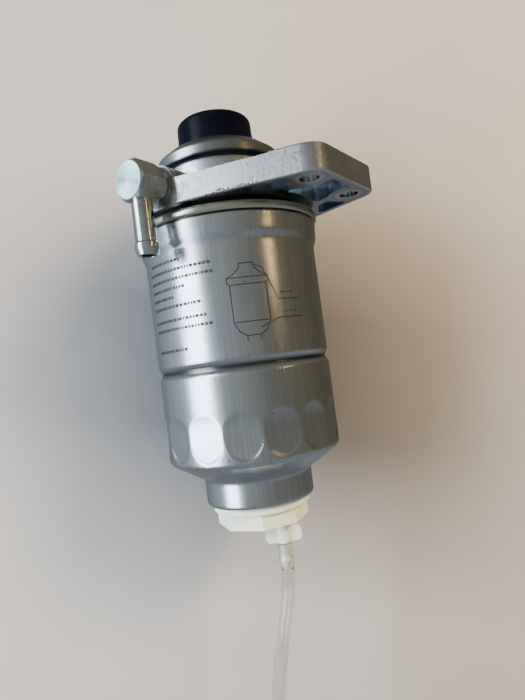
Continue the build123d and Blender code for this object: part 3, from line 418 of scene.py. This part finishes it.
def drawn_can(colour):
    """Deep-drawn tinned steel: soft mirror, upright draw lines, cloudy tin, soft edges, painted shade in the groove
    and under the seam, and dirt specks.
    """
    material, tree, shader = new_finish("drawn_tinned_steel", Metallic=1.0)
    coords = millimetres(tree, AXIS)
    # Real draw lines are finer than 0.1 mm. They are drawn 0.5 mm wide, so that they show.
    lines = clouds(tree, 0.5, 2.0, AXIS, (1, 1, 30))
    cloud = clouds(tree, 9.0, 5.0, AXIS)
    waves = clouds(tree, 11.0, 1.0, AXIS)
    mottled = put(tree, "ShaderNodeMath", {0: cloud, 1: lines}, operation="ADD").outputs[0]
    share = put(tree, "ShaderNodeMapRange", {0: mottled, 1: 0.7, 2: 1.3}).outputs[0]
    tin = put(tree, "ShaderNodeMix", {0: share, 6: linear(colour), 7: linear("C2C6C8")}, data_type="RGBA").outputs[2]
    # Painted shade in the groove and under the seam, and dirt specks.
    dark = can_specks_and_painted_shade(tree, coords)
    speckled = put(tree, "ShaderNodeMix", {0: dark, 6: tin, 7: linear("4A463E")}, data_type="RGBA").outputs[2]
    tree.links.new(speckled, shader.inputs["Base Color"])
    rough = put(tree, "ShaderNodeMapRange", {0: cloud, 1: 0.3, 2: 0.7, 3: 0.22, 4: 0.28}).outputs[0]
    tree.links.new(rough, shader.inputs["Roughness"])
    normal = put(tree, "ShaderNodeBevel", {"Radius": 2.0 * MM}, samples=8).outputs["Normal"]
    for pattern, depth, strength in ((waves, 0.12, 0.5), (lines, 0.01, 0.1)):
        sockets = {"Height": pattern, "Distance": depth * MM, "Strength": strength, "Normal": normal}
        normal = put(tree, "ShaderNodeBump", sockets).outputs["Normal"]
    tree.links.new(normal, shader.inputs["Normal"])
    return material


def can_specks_and_painted_shade(tree, coords):
    """Painted shade in the groove and under the seam, and a few small dirt specks."""
    height = put(tree, "ShaderNodeSeparateXYZ", {0: coords}).outputs["Z"]
    off_groove = put(tree, "ShaderNodeMath", {0: height, 1: GROOVE_Z}, operation="SUBTRACT").outputs[0]
    depth = put(tree, "ShaderNodeMath", {0: off_groove}, operation="ABSOLUTE").outputs[0]
    valley = put(tree, "ShaderNodeMapRange", {0: depth, 1: 0.3, 2: 2.0, 3: 0.9, 4: 0.0}).outputs[0]
    seam = {0: height, 1: SEAM_FOOT_Z, 2: SEAM_FOOT_Z + 0.5, 3: 0.0, 4: 0.9}
    under_seam = put(tree, "ShaderNodeMapRange", seam).outputs[0]
    cells = {"Vector": coords, "Scale": 0.09, "Randomness": 1.0}
    specks = put(tree, "ShaderNodeTexVoronoi", cells).outputs["Distance"]
    dots = put(tree, "ShaderNodeMapRange", {0: specks, 1: 0.02, 2: 0.04, 3: 1.0, 4: 0.0}).outputs[0]
    # Painted shade in the groove and under the seam.
    painted_shade = put(tree, "ShaderNodeMath", {0: valley, 1: under_seam}, operation="MAXIMUM").outputs[0]
    return put(tree, "ShaderNodeMath", {0: dots, 1: painted_shade}, operation="MAXIMUM").outputs[0]


def plain_steel(name, colour, roughness, grain, shade="6F7072"):
    """Bare or lightly oiled steel: grey, with fine uneven polish."""
    material, tree, shader = new_finish(name, Metallic=1.0)
    uneven(tree, shader, clouds(tree, grain), (colour, shade), (roughness, roughness + 0.14), (0.005, 0.2))
    return material


def moulded_knob(colour):
    """Moulded phenolic: almost black navy, a polished skin with a weak wide sheen and faint waves."""
    material, tree, shader = new_finish("moulded_phenolic", IOR=1.25, Specular_IOR_Level=0.18)
    uneven(tree, shader, clouds(tree, 6.0, 3.0), (colour, "0B0E18"), (0.2, 0.34), (0.03, 0.25))
    return material


def natural_nylon(colour):
    """Natural injection-moulded nylon: ivory, waxy and slightly clear, so light glows in its edges."""
    material, tree, shader = new_finish("natural_nylon", IOR=1.53, Subsurface_Weight=0.25, Subsurface_Scale=0.003)
    shader.inputs["Subsurface Radius"].default_value = (1.0, 0.85, 0.6)
    uneven(tree, shader, clouds(tree, 5.0, 3.0), (colour, "ECEACB"), (0.3, 0.44), (0.03, 0.3))
    return material


def clear_vinyl(name, colour, roughness, clearness):
    """Extruded clear vinyl: see-through with bright edges and faint streaks along it."""
    material, tree, shader = new_finish(name, IOR=1.45, Transmission_Weight=clearness)
    streaks = clouds(tree, 2.0, stretch=(1, 1, 6))
    uneven(tree, shader, streaks, (colour, "F3F5F2"), (roughness, roughness + 0.03))
    return material


def moulded_rubber(colour):
    """Moulded nitrile rubber: black and dull, with a dusty bloom."""
    material, tree, shader = new_finish("nitrile_rubber", IOR=1.5)
    uneven(tree, shader, clouds(tree, 3.0, 4.0), (colour, "26262A"), (0.55, 0.75), (0.04, 0.4))
    return material


def filter_paper(colour):
    """Resin-treated filter paper: warm tan fibres, dull."""
    material, tree, shader = new_finish("filter_paper", IOR=1.45)
    fibres = clouds(tree, 0.6, 5.0, stretch=(1, 1, 3))
    uneven(tree, shader, fibres, (colour, "A98A58"), (0.75, 0.95), (0.08, 0.6))
    return material


def turned_brass(colour):
    """Turned brass: yellow metal, lightly uneven from the tool."""
    material, tree, shader = new_finish("turned_brass", Metallic=1.0)
    uneven(tree, shader, clouds(tree, 0.8, 4.0), (colour, "A8823F"), (0.22, 0.36))
    return material


def screen_ink(colour):
    """Screen-printed ink: flat dark grey with a slight sheen, thinner in places."""
    material, tree, shader = new_finish("screen_ink", IOR=1.5)
    uneven(tree, shader, clouds(tree, 0.5, 3.0), (colour, "26292E"), (0.4, 0.6))
    return material


# Meshes

def new_piece(name, mesh_maker, material, body, smooth=True):
    """Mesh object from a bmesh, riding on a body, or on none yet where body is None."""
    shape = bmesh.new()
    mesh_maker(shape)
    mesh = bpy.data.meshes.new(name)
    shape.to_mesh(mesh)
    shape.free()
    piece = bpy.data.objects.new(name, mesh)
    bpy.context.scene.collection.objects.link(piece)
    mesh.materials.append(material)
    for face in mesh.polygons:
        face.use_smooth = smooth
    if body:
        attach(piece, body)
    return piece


def copy_solid(shape, node):
    """A solid's mesh, its loose triangles joined."""
    shape.from_mesh(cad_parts[node].data)
    bmesh.ops.remove_doubles(shape, verts=shape.verts, dist=0.005 * MM)


def wrapped_bar(shape, settings, angle, z, width, height, tilt=0.0):
    """Thin inked bar on the can: angle in radians round the axis, z, width and height in metres."""
    radius = settings.radius
    steps = max(2, int(width / radius / radians(3)) + 1)
    verts = bmesh.ops.create_grid(shape, x_segments=steps, y_segments=1, size=0.5)["verts"]
    bmesh.ops.transform(shape, matrix=Matrix.Diagonal((width, height, 1, 1)), verts=verts)
    bmesh.ops.rotate(shape, matrix=Matrix.Rotation(tilt, 3, "Z"), verts=verts)
    for vertex in verts:
        turn = angle + vertex.co.x / radius
        vertex.co = Vector((FILTER_X + radius * cos(turn), radius * sin(turn), z + vertex.co.y))
    faces = list({face for vertex in verts for face in vertex.link_faces})
    grown = bmesh.ops.extrude_face_region(shape, geom=faces)["geom"]
    for vertex in grown:
        if isinstance(vertex, bmesh.types.BMVert):
            out = Vector((vertex.co.x - FILTER_X, vertex.co.y, 0)).normalized()
            vertex.co += out * settings.thickness


# Operators

class FILTER_OT_stage(bpy.types.Operator):
    """Camera at the photograph's angle, soft lights, a pale wall and floor"""

    bl_idname = "filter.stage"
    bl_label = "Make the stage"

    def execute(self, context):
        stage = context.scene.filter_stage
        make_camera(context, stage)
        make_backdrop(stage)
        make_room(context, stage)
        for light in LIGHTS:
            add_area_light(context, stage, *light)
        return {"FINISHED"}


def make_camera(context, stage):
    """Camera set by its place round the filter and its own yaw, pitch and roll."""
    data = bpy.data.cameras.new("camera")
    data.lens = stage.lens
    data.clip_start = 0.01
    camera = bpy.data.objects.new("camera", data)
    context.scene.collection.objects.link(camera)
    away = Vector((sin(stage.azimuth), -cos(stage.azimuth), 0)) * stage.distance
    turn = Matrix.Rotation(stage.azimuth - stage.yaw, 4, "Z")
    tilt = Matrix.Rotation(pi / 2 + stage.pitch, 4, "X")
    roll = Matrix.Rotation(stage.roll, 4, "Z")
    place = Matrix.Translation(Vector((FILTER_X, 0, stage.height)) + away)
    camera.matrix_world = place @ turn @ tilt @ roll
    context.scene.camera = camera


def make_backdrop(stage):
    """Pale floor that curves up into a pale wall behind the filter."""
    left, right, rise, bend, floor_depth = -0.28, 0.22, 1.2, 0.04, 0.4
    floor_z = FLOOR_Z - 0.004
    profile = [(-floor_depth, 0.0), (-bend, 0.0)]
    profile += [(bend * (sin(step * pi / 16) - 1), bend * (1 - cos(step * pi / 16))) for step in range(1, 9)]
    profile.append((0.0, rise))
    shape = bmesh.new()
    rows = len(profile) - 1
    made = bmesh.ops.create_grid(shape, x_segments=1, y_segments=rows, size=0.5)
    for vertex in made["verts"]:
        depth, height = profile[round((vertex.co.y + 0.5) * rows)]
        vertex.co = Vector((right if vertex.co.x > 0 else left, depth, height))
    look = Matrix.Rotation(stage.azimuth - stage.yaw, 4, "Z")
    place = Matrix.Translation((FILTER_X, 0, floor_z)) @ look @ Matrix.Translation((0, stage.wall_gap, 0))
    bmesh.ops.transform(shape, matrix=place, verts=shape.verts)
    mesh = bpy.data.meshes.new("backdrop")
    shape.to_mesh(mesh)
    shape.free()
    for face in mesh.polygons:
        face.use_smooth = True
    backdrop = bpy.data.objects.new("backdrop", mesh)
    bpy.context.scene.collection.objects.link(backdrop)
    mesh.materials.append(painted_wall(stage.backdrop, stage.azimuth - stage.yaw))
    # Mirrored in the metals, the wall would wash out the can's edges.
    backdrop.visible_glossy = False


def painted_wall(colour, turn):
    """Matt wall paint: warm pale beige, with a soft painted shadow round the filter, and open to light from behind.
    """
    material, tree, shader = new_finish("matt_wall_paint", Roughness=0.9, IOR=1.4)
    height = put(tree, "ShaderNodeSeparateXYZ", {0: millimetres(tree)}).outputs["Z"]
    low = FLOOR_Z / MM
    floor = put(tree, "ShaderNodeMapRange", {0: height, 1: low, 2: low + 30, 3: 1, 4: 0}).outputs[0]
    paint = two_tones(tree, clouds(tree, 60.0), colour, "B9AFA4")
    # Painted shadow of the filter on the wall.
    shade, share = filter_shade(tree, turn, height)
    dimmed = put(tree, "ShaderNodeMix", {0: share, 6: paint, 7: shade}, data_type="RGBA").outputs[2]
    both = put(tree, "ShaderNodeMix", {0: floor, 6: dimmed, 7: linear("949CA3")}, data_type="RGBA").outputs[2]
    tree.links.new(both, shader.inputs["Base Color"])
    behind = put(tree, "ShaderNodeNewGeometry").outputs["Backfacing"]
    clear = put(tree, "ShaderNodeBsdfTransparent").outputs["BSDF"]
    sides = put(tree, "ShaderNodeMixShader", {0: behind, 1: shader.outputs["BSDF"], 2: clear}).outputs[0]
    output = next(node for node in tree.nodes if node.type == "OUTPUT_MATERIAL")
    tree.links.new(sides, output.inputs["Surface"])
    return material


def filter_shade(tree, turn, height):
    """Colour and strength of the shade on the wall: cool to the left of the filter, brown and lower to the right."""
    # It fades out to the sides, toward the floor and above the pump, lower on the right than on the left.
    coords = millimetres(tree, AXIS)
    along = (cos(turn), sin(turn), 0)
    across = put(tree, "ShaderNodeVectorMath", {0: coords, 1: along}, operation="DOT_PRODUCT").outputs["Value"]
    aside = put(tree, "ShaderNodeMath", {0: across}, operation="ABSOLUTE").outputs[0]
    level = put(tree, "ShaderNodeMath", {0: across, 1: 0.25, 2: height}, operation="MULTIPLY_ADD").outputs[0]
    strength = put(tree, "ShaderNodeMapRange", {0: aside, 1: 35, 2: 205, 3: 1, 4: 0}).outputs[0]
    for start, stop, first, last in ((-235, -125, 0, 1), (-50, 45, 1, 0)):
        fade = put(tree, "ShaderNodeMapRange", {0: level, 1: start, 2: stop, 3: first, 4: last}).outputs[0]
        strength = put(tree, "ShaderNodeMath", {0: strength, 1: fade}, operation="MULTIPLY").outputs[0]
    right = put(tree, "ShaderNodeMapRange", {0: across, 1: -50, 2: 50}).outputs[0]
    tones = {0: right, 6: linear("5E6266"), 7: linear("706D6B")}
    return put(tree, "ShaderNodeMix", tones, data_type="RGBA").outputs[2], strength


# Colours of the room by bearing, in degrees to the right of the camera's line. The metals mirror them.
ROOM = [
    (-180, "9AA0A6"),
    (-140, "AAB4BC"),
    (-106, "E0F2FF"),
    (-88, "D2E4F0"),
    (-78, "A9BAC6"),
    (-66, "C9DAE8"),
    (-36, "B2BEC6"),
    (-12, "CCD2CE"),
    (10, "B4BBB6"),
    (36, "95938A"),
    (80, "8E866F"),
    (120, "7C7461"),
    (166, "857E6C"),
    (180, "9AA0A6"),
]


def make_room(context, stage):
    """Glow of the room: its colours at eye level, a grey below and a warmer grey above."""
    world = bpy.data.worlds.new("room")
    context.scene.world = world
    world.use_nodes = True
    tree = world.node_tree
    tree.nodes.clear()
    toward = put(tree, "ShaderNodeTexCoord").outputs["Generated"]
    turned = put(tree, "ShaderNodeVectorRotate", {"Vector": toward, "Angle": -stage.azimuth}, rotation_type="Z_AXIS")
    way = put(tree, "ShaderNodeSeparateXYZ", {0: turned.outputs[0]}).outputs
    ahead = put(tree, "ShaderNodeMath", {0: way["Y"], 1: -1.0}, operation="MULTIPLY").outputs[0]
    bearing = put(tree, "ShaderNodeMath", {0: way["X"], 1: ahead}, operation="ARCTAN2").outputs[0]
    share = put(tree, "ShaderNodeMapRange", {0: bearing, 1: -pi, 2: pi}).outputs[0]
    ramp = put(tree, "ShaderNodeValToRGB", {"Fac": share})
    stops = ramp.color_ramp.elements
    while len(stops) < len(ROOM):
        stops.new(0.5)
    for stop, (degrees, colour) in zip(stops, ROOM):
        stop.position = degrees / 360 + 0.5
        stop.color = linear(colour)
    glow = ramp.outputs["Color"]
    for start, stop, first, last, colour in ((-0.5, -0.12, 1, 0, "B2B8C0"), (0.25, 0.8, 0, 1, "A6A29A")):
        away = put(tree, "ShaderNodeMapRange", {0: way["Z"], 1: start, 2: stop, 3: first, 4: last}).outputs[0]
        glow = put(tree, "ShaderNodeMix", {0: away, 6: glow, 7: linear(colour)}, data_type="RGBA").outputs[2]
    lit = put(tree, "ShaderNodeBackground", {"Color": glow, "Strength": 0.52}).outputs[0]
    put(tree, "ShaderNodeOutputWorld", {"Surface": lit})


# Name, bearing in degrees as above, height over the can's middle, distance, size, power, colour, seen in metals
LIGHTS = [
    ("window", -60, 0.12, 0.9, (0.46, 1.0), 15.5, "DCE9FA", True),
    ("window_glow", -55, 0.12, 0.9, (0.3, 0.8), 9.0, "DCE9FA", False),
    ("warm_strip", 51, 0.26, 0.8, (0.03, 0.2), 0.25, "FFD088", True),
    ("warm_fill", 44, 0.4, 0.8, (0.24, 0.24), 12.0, "FFE4BE", False),
]


def add_area_light(context, stage, name, bearing, height, distance, size, power, colour, mirrored):
    """One soft panel, aimed at the middle of the can."""
    data = bpy.data.lights.new(name, "AREA")
    data.shape = "RECTANGLE"
    data.size, data.size_y = size
    data.energy = power
    data.color = linear(colour)[:3]
    light = bpy.data.objects.new(name, data)
    light.visible_glossy = mirrored
    context.scene.collection.objects.link(light)
    turn = stage.azimuth + radians(bearing)
    target = node_centre("can_shell")
    place = Vector((FILTER_X + sin(turn) * distance, -cos(turn) * distance, target.z + height))
    aim = (target - place).to_track_quat("-Z", "Y").to_matrix().to_4x4()
    light.matrix_world = Matrix.Translation(place) @ aim


class FILTER_OT_finishes(bpy.types.Operator):
    """Gives every solid of the filter its finish"""

    bl_idname = "filter.finishes"
    bl_label = "Finish the solids"

    def execute(self, context):
        colours = context.scene.filter_finish
        steel = plain_steel("plain_steel", colours.steel, 0.3, 3.0)
        spring = plain_steel("spring_steel", colours.steel, 0.22, 1.0)
        rubber = moulded_rubber(colours.rubber)
        nylon = natural_nylon(colours.nylon)
        finish_of = {
            "filter_head": blasted_casting(colours.casting),
            "pump_cover": plated_cover(colours.cover),
            "inlet_elbow": turned_fitting("turned_zinc_inlet", colours.fitting, -1),
            "outlet_elbow": turned_fitting("turned_zinc_outlet", colours.fitting, 1),
            "can_shell": drawn_can(colours.can),
            "seam_ring": plain_steel("rolled_tin_seam", "D6D5C4", 0.2, 12.0, "BCB9A4"),
            "knob": moulded_knob(colours.knob),
            "hose_cuff": clear_vinyl("stretched_vinyl", colours.hose, 0.02, 0.97),
            "drain_hose": clear_vinyl("drain_hose_vinyl", colours.hose, 0.1, 0.9),
            "filter_paper": filter_paper(colours.paper),
        }
        shared = [
            (nylon, ("drain_plug", "drain_cock")),
            (spring, ("return_spring", "element_support")),
            (plain_steel("soft_aluminium", "B9BABA", 0.3, 2.0), ("inlet_washer", "outlet_washer")),
            (plain_steel("zinc_plated_tube", "E0E5E6", 0.12, 8.0, "B4B8B4"), ("inlet_pipe", "outlet_pipe")),
            (turned_brass(colours.brass), ("inlet_valve_seat", "outlet_valve_seat")),
            (rubber, (
                "inlet_valve_flap", "outlet_valve_flap", "diaphragm", "head_gasket",
                "element_grommet", "plug_o_ring", "cock_o_ring",
            )),
        ]
        for finish, names in shared:
            finish_of.update(dict.fromkeys(names, finish))
        for name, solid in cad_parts.items():
            solid.data.materials.clear()
            solid.data.materials.append(finish_of.get(name, steel))
        return {"FINISHED"}


# Control points of the hose's middle line: drift to the side and height, in millimetres
HOSE_ROUTE = [
    (0.0, -184.0),
    (0.3, -191.5),
    (3.5, -205.5),
    (10.4, -233.0),
    (17.4, -268.0),
    (20.9, -300.0),
    (21.8, -328.0),
    (21.2, -352.0),
]


class FILTER_OT_drain_hose(bpy.types.Operator):
    """Clear vinyl hose that hangs from the wing cock"""

    bl_idname = "filter.drain_hose"
    bl_label = "Hang the drain hose"

    def execute(self, context):
        hose = context.scene.filter_hose
        curve = bpy.data.curves.new("hanging_hose", "CURVE")
        curve.dimensions = "3D"
        spline = curve.splines.new("NURBS")
        spline.points.add(len(HOSE_ROUTE) - 1)
        for point, (drift, z) in zip(spline.points, HOSE_ROUTE):
            x = HOSE_TOP.x - drift * MM * cos(hose.lean)
            point.co = (x, -drift * MM * sin(hose.lean), z * MM, 1)
        spline.order_u = 3
        spline.use_endpoint_u = True
        spline.resolution_u = 24
        curve.bevel_depth = hose.diameter / 2
        curve.bevel_resolution = 8
        piece = bpy.data.objects.new("hanging_hose", curve)
        context.scene.collection.objects.link(piece)
        wall = piece.modifiers.new("wall", "SOLIDIFY")
        wall.thickness = hose.wall
        wall.offset = -1
        curve.materials.append(clear_vinyl("clear_vinyl", context.scene.filter_finish.hose, 0.0, 1.0))
        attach(piece, "cock")
        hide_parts("drain_hose")
        return {"FINISHED"}


class FILTER_OT_pump_works(bpy.types.Operator):
    """Copies of the return spring and the diaphragm in place of their solids"""

    bl_idname = "filter.pump_works"
    bl_label = "Join the pump's soft parts"

    def execute(self, context):
        make_spring()
        make_diaphragm()
        return {"FINISHED"}


def make_spring():
    """Copy of the return spring on the housing, with the solid itself hidden."""
    steel = bpy.data.materials["spring_steel"]
    spring = new_piece(
        "coil_spring", lambda shape: copy_solid(shape, "return_spring"),
        steel, "housing",
    )
    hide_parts("return_spring")
    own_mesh(spring)


def make_diaphragm():
    """Copy of the diaphragm, its sharp edges marked by angle, with the solid itself hidden."""
    rubber = bpy.data.materials["nitrile_rubber"]
    disc = new_piece(
        "rubber_diaphragm", lambda shape: copy_solid(shape, "diaphragm"),
        rubber, None,
    )
    disc.data.set_sharp_from_angle(angle=radians(35))
    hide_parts("diaphragm")
    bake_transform(disc)


class FILTER_OT_casting_flash(bpy.types.Operator):
    """Ragged trimmed flash along the lower edge of the flange's front side"""

    bl_idname = "filter.casting_flash"
    bl_label = "Trim the casting"

    def execute(self, context):
        metal = plain_steel("trimmed_aluminium", "F6F7F6", 0.18, 0.8, "85878A")
        new_piece(
            "casting_flash", lambda shape: ragged_burrs(shape, 12),
            metal, "housing", smooth=False,
        )
        return {"FINISHED"}


def ragged_burrs(shape, seed):
    """Small torn lumps in a wavering row on the flange's front side."""
    chance = Random(seed)
    normal, reach = FRONT_SIDE
    along = Vector((-normal.y, normal.x, 0))
    turn = along.to_track_quat("X", "Z").to_matrix()
    distance, end = FLASH_RUN
    while distance < end:
        length = chance.uniform(0.6, 1.6)
        height = chance.uniform(0.3, 0.8)
        proud = chance.uniform(0.3, 0.7)
        middle = normal * reach + along * (distance + length / 2)
        middle.z = FLASH_Z + chance.uniform(-0.35, 0.35) + 0.25 * sin(distance * 0.7)
        lump = bmesh.ops.create_icosphere(shape, subdivisions=1, radius=0.5 * MM)["verts"]
        for vertex in lump:
            vertex.co *= chance.uniform(0.75, 1.2)
        bmesh.ops.transform(shape, matrix=Matrix.Diagonal((length, 2 * proud, 2 * height, 1)), verts=lump)
        bmesh.ops.rotate(shape, matrix=turn, verts=lump)
        bmesh.ops.translate(shape, vec=middle * MM, verts=lump)
        distance += length * chance.uniform(0.8, 1.6)


class FILTER_OT_print(bpy.types.Operator):
    """Ruled print lines and a plain outline of the filter on the can"""

    bl_idname = "filter.print"
    bl_label = "Print the can"

    def execute(self, context):
        ink = screen_ink(context.scene.filter_finish.ink)
        settings = context.scene.filter_print
        new_piece(
            "printed_lines", lambda shape: ruled_lines(shape, settings),
            ink, "housing", smooth=False,
        )
        new_piece(
            "printed_outline", lambda shape: filter_outline(shape, settings),
            ink, "housing", smooth=False,
        )
        return {"FINISHED"}


# Rows of print: height on the can in millimetres, and the bearings round its axis where the row starts and ends
PRINT_ROWS = [
    (-34.5, -112, -84),
    (-38.5, -114, -64),
    (-42.5, -114, -63),
    (-46.5, -114, -82),
    (-50.5, -114, -92),
    (-54.5, -114, -72),
    (-60.5, -114, -69),
    (-64.5, -114, -66),
    (-74.0, -114, -86),
]
DASH_LENGTHS = (0.7, 1.9)
DASH_GAPS = (0.35, 0.6)
DASH_HEIGHT = 1.3


def ruled_lines(shape, settings):
    """Rows of short dashes, ragged at their right end."""
    chance = Random(settings.seed)
    for z, first, last in PRINT_ROWS:
        angle = radians(first)
        while angle < radians(last):
            width = chance.uniform(*DASH_LENGTHS) * MM
            wrapped_bar(shape, settings, angle + width / 2 / settings.radius, z * MM, width, DASH_HEIGHT * MM)
            angle += (width + chance.uniform(*DASH_GAPS) * MM) / settings.radius


# Line drawing of a canister, in millimetres to the right of its middle and up the can
OUTLINE_BEARING = radians(-43)
OUTLINE = [(3.2, -41), (3.2, -43), (6, -45.5), (9, -47), (9, -49), (8, -50), (8, -66), (6, -70), (3, -72), (3, -74)]
CROSS_LINES = (-41, -47, -50, -66, -72)
POINTERS = [
    [(3.4, -42), (7, -43.5), (13, -57.5), (24, -57.5)],
    [(3.6, -69), (12, -65.5), (25, -65.5)],
]
LABELS = [(14, -54.6), (16.6, -54.6), (19.2, -54.6), (15, -62.8), (17.6, -62.8), (20.2, -62.8)]
LABEL_WIDTH = 1.5
STROKE_WIDTH = 0.42
STROKE_LAP = 0.25


def filter_outline(shape, settings):
    """Line drawing of a plain canister with a knob and a shoulder, and two pointers, made of thin strokes."""
    left = [(-x, z) for x, z in OUTLINE]
    for points in (left, OUTLINE):
        for start, end in zip(points, points[1:]):
            stroke(shape, settings, start, end)
    for x, z in OUTLINE:
        if z in CROSS_LINES:
            stroke(shape, settings, (-x, z), (x, z))
    for points in POINTERS:
        for start, end in zip(points, points[1:]):
            stroke(shape, settings, start, end)
    for x, z in LABELS:
        stroke(shape, settings, (x, z), (x + LABEL_WIDTH, z))


def stroke(shape, settings, start, end):
    """Inked line between two points of the drawing."""
    run = (Vector(end) - Vector(start)) * MM
    middle = (Vector(start) + Vector(end)) / 2 * MM
    tilt = run.angle_signed(Vector((1, 0)))
    angle = OUTLINE_BEARING + middle.x / settings.radius
    wrapped_bar(shape, settings, angle, middle.y, run.length + STROKE_LAP * MM, STROKE_WIDTH * MM, tilt)


class FILTER_PT_panel(bpy.types.Panel):
    """Lists the filter's pieces and settings"""

    bl_idname = "FILTER_PT_panel"
    bl_label = "Fuel filter"
    bl_space_type = "VIEW_3D"
    bl_region_type = "UI"
    bl_category = "Filter"

    def draw(self, context):
        for operator in OPERATORS:
            self.layout.operator(operator.bl_idname)
        for name in SETTINGS:
            group = getattr(context.scene, name)
            for prop in group.__annotations__:
                self.layout.prop(group, prop)


SETTINGS = {
    "filter_stage": StageSettings,
    "filter_finish": FinishSettings,
    "filter_hose": HoseSettings,
    "filter_print": PrintSettings,
}
OPERATORS = (
    FILTER_OT_stage,
    FILTER_OT_drain_hose,
    FILTER_OT_finishes,
    FILTER_OT_pump_works,
    FILTER_OT_casting_flash,
    FILTER_OT_print,
)


def register():
    for kind in (*SETTINGS.values(), *OPERATORS, FILTER_PT_panel):
        bpy.utils.register_class(kind)
    for name, kind in SETTINGS.items():
        setattr(bpy.types.Scene, name, PointerProperty(type=kind))


def unregister():
    for name in SETTINGS:
        delattr(bpy.types.Scene, name)
    for kind in (FILTER_PT_panel, *reversed(OPERATORS), *SETTINGS.values()):
        bpy.utils.unregister_class(kind)


def main():
    register()
    bpy.ops.filter.stage()
    bpy.ops.filter.drain_hose()
    bpy.ops.filter.finishes()
    bpy.ops.filter.pump_works()
    bpy.ops.filter.casting_flash()
    bpy.ops.filter.print()


if __name__ == "__main__":
    main()
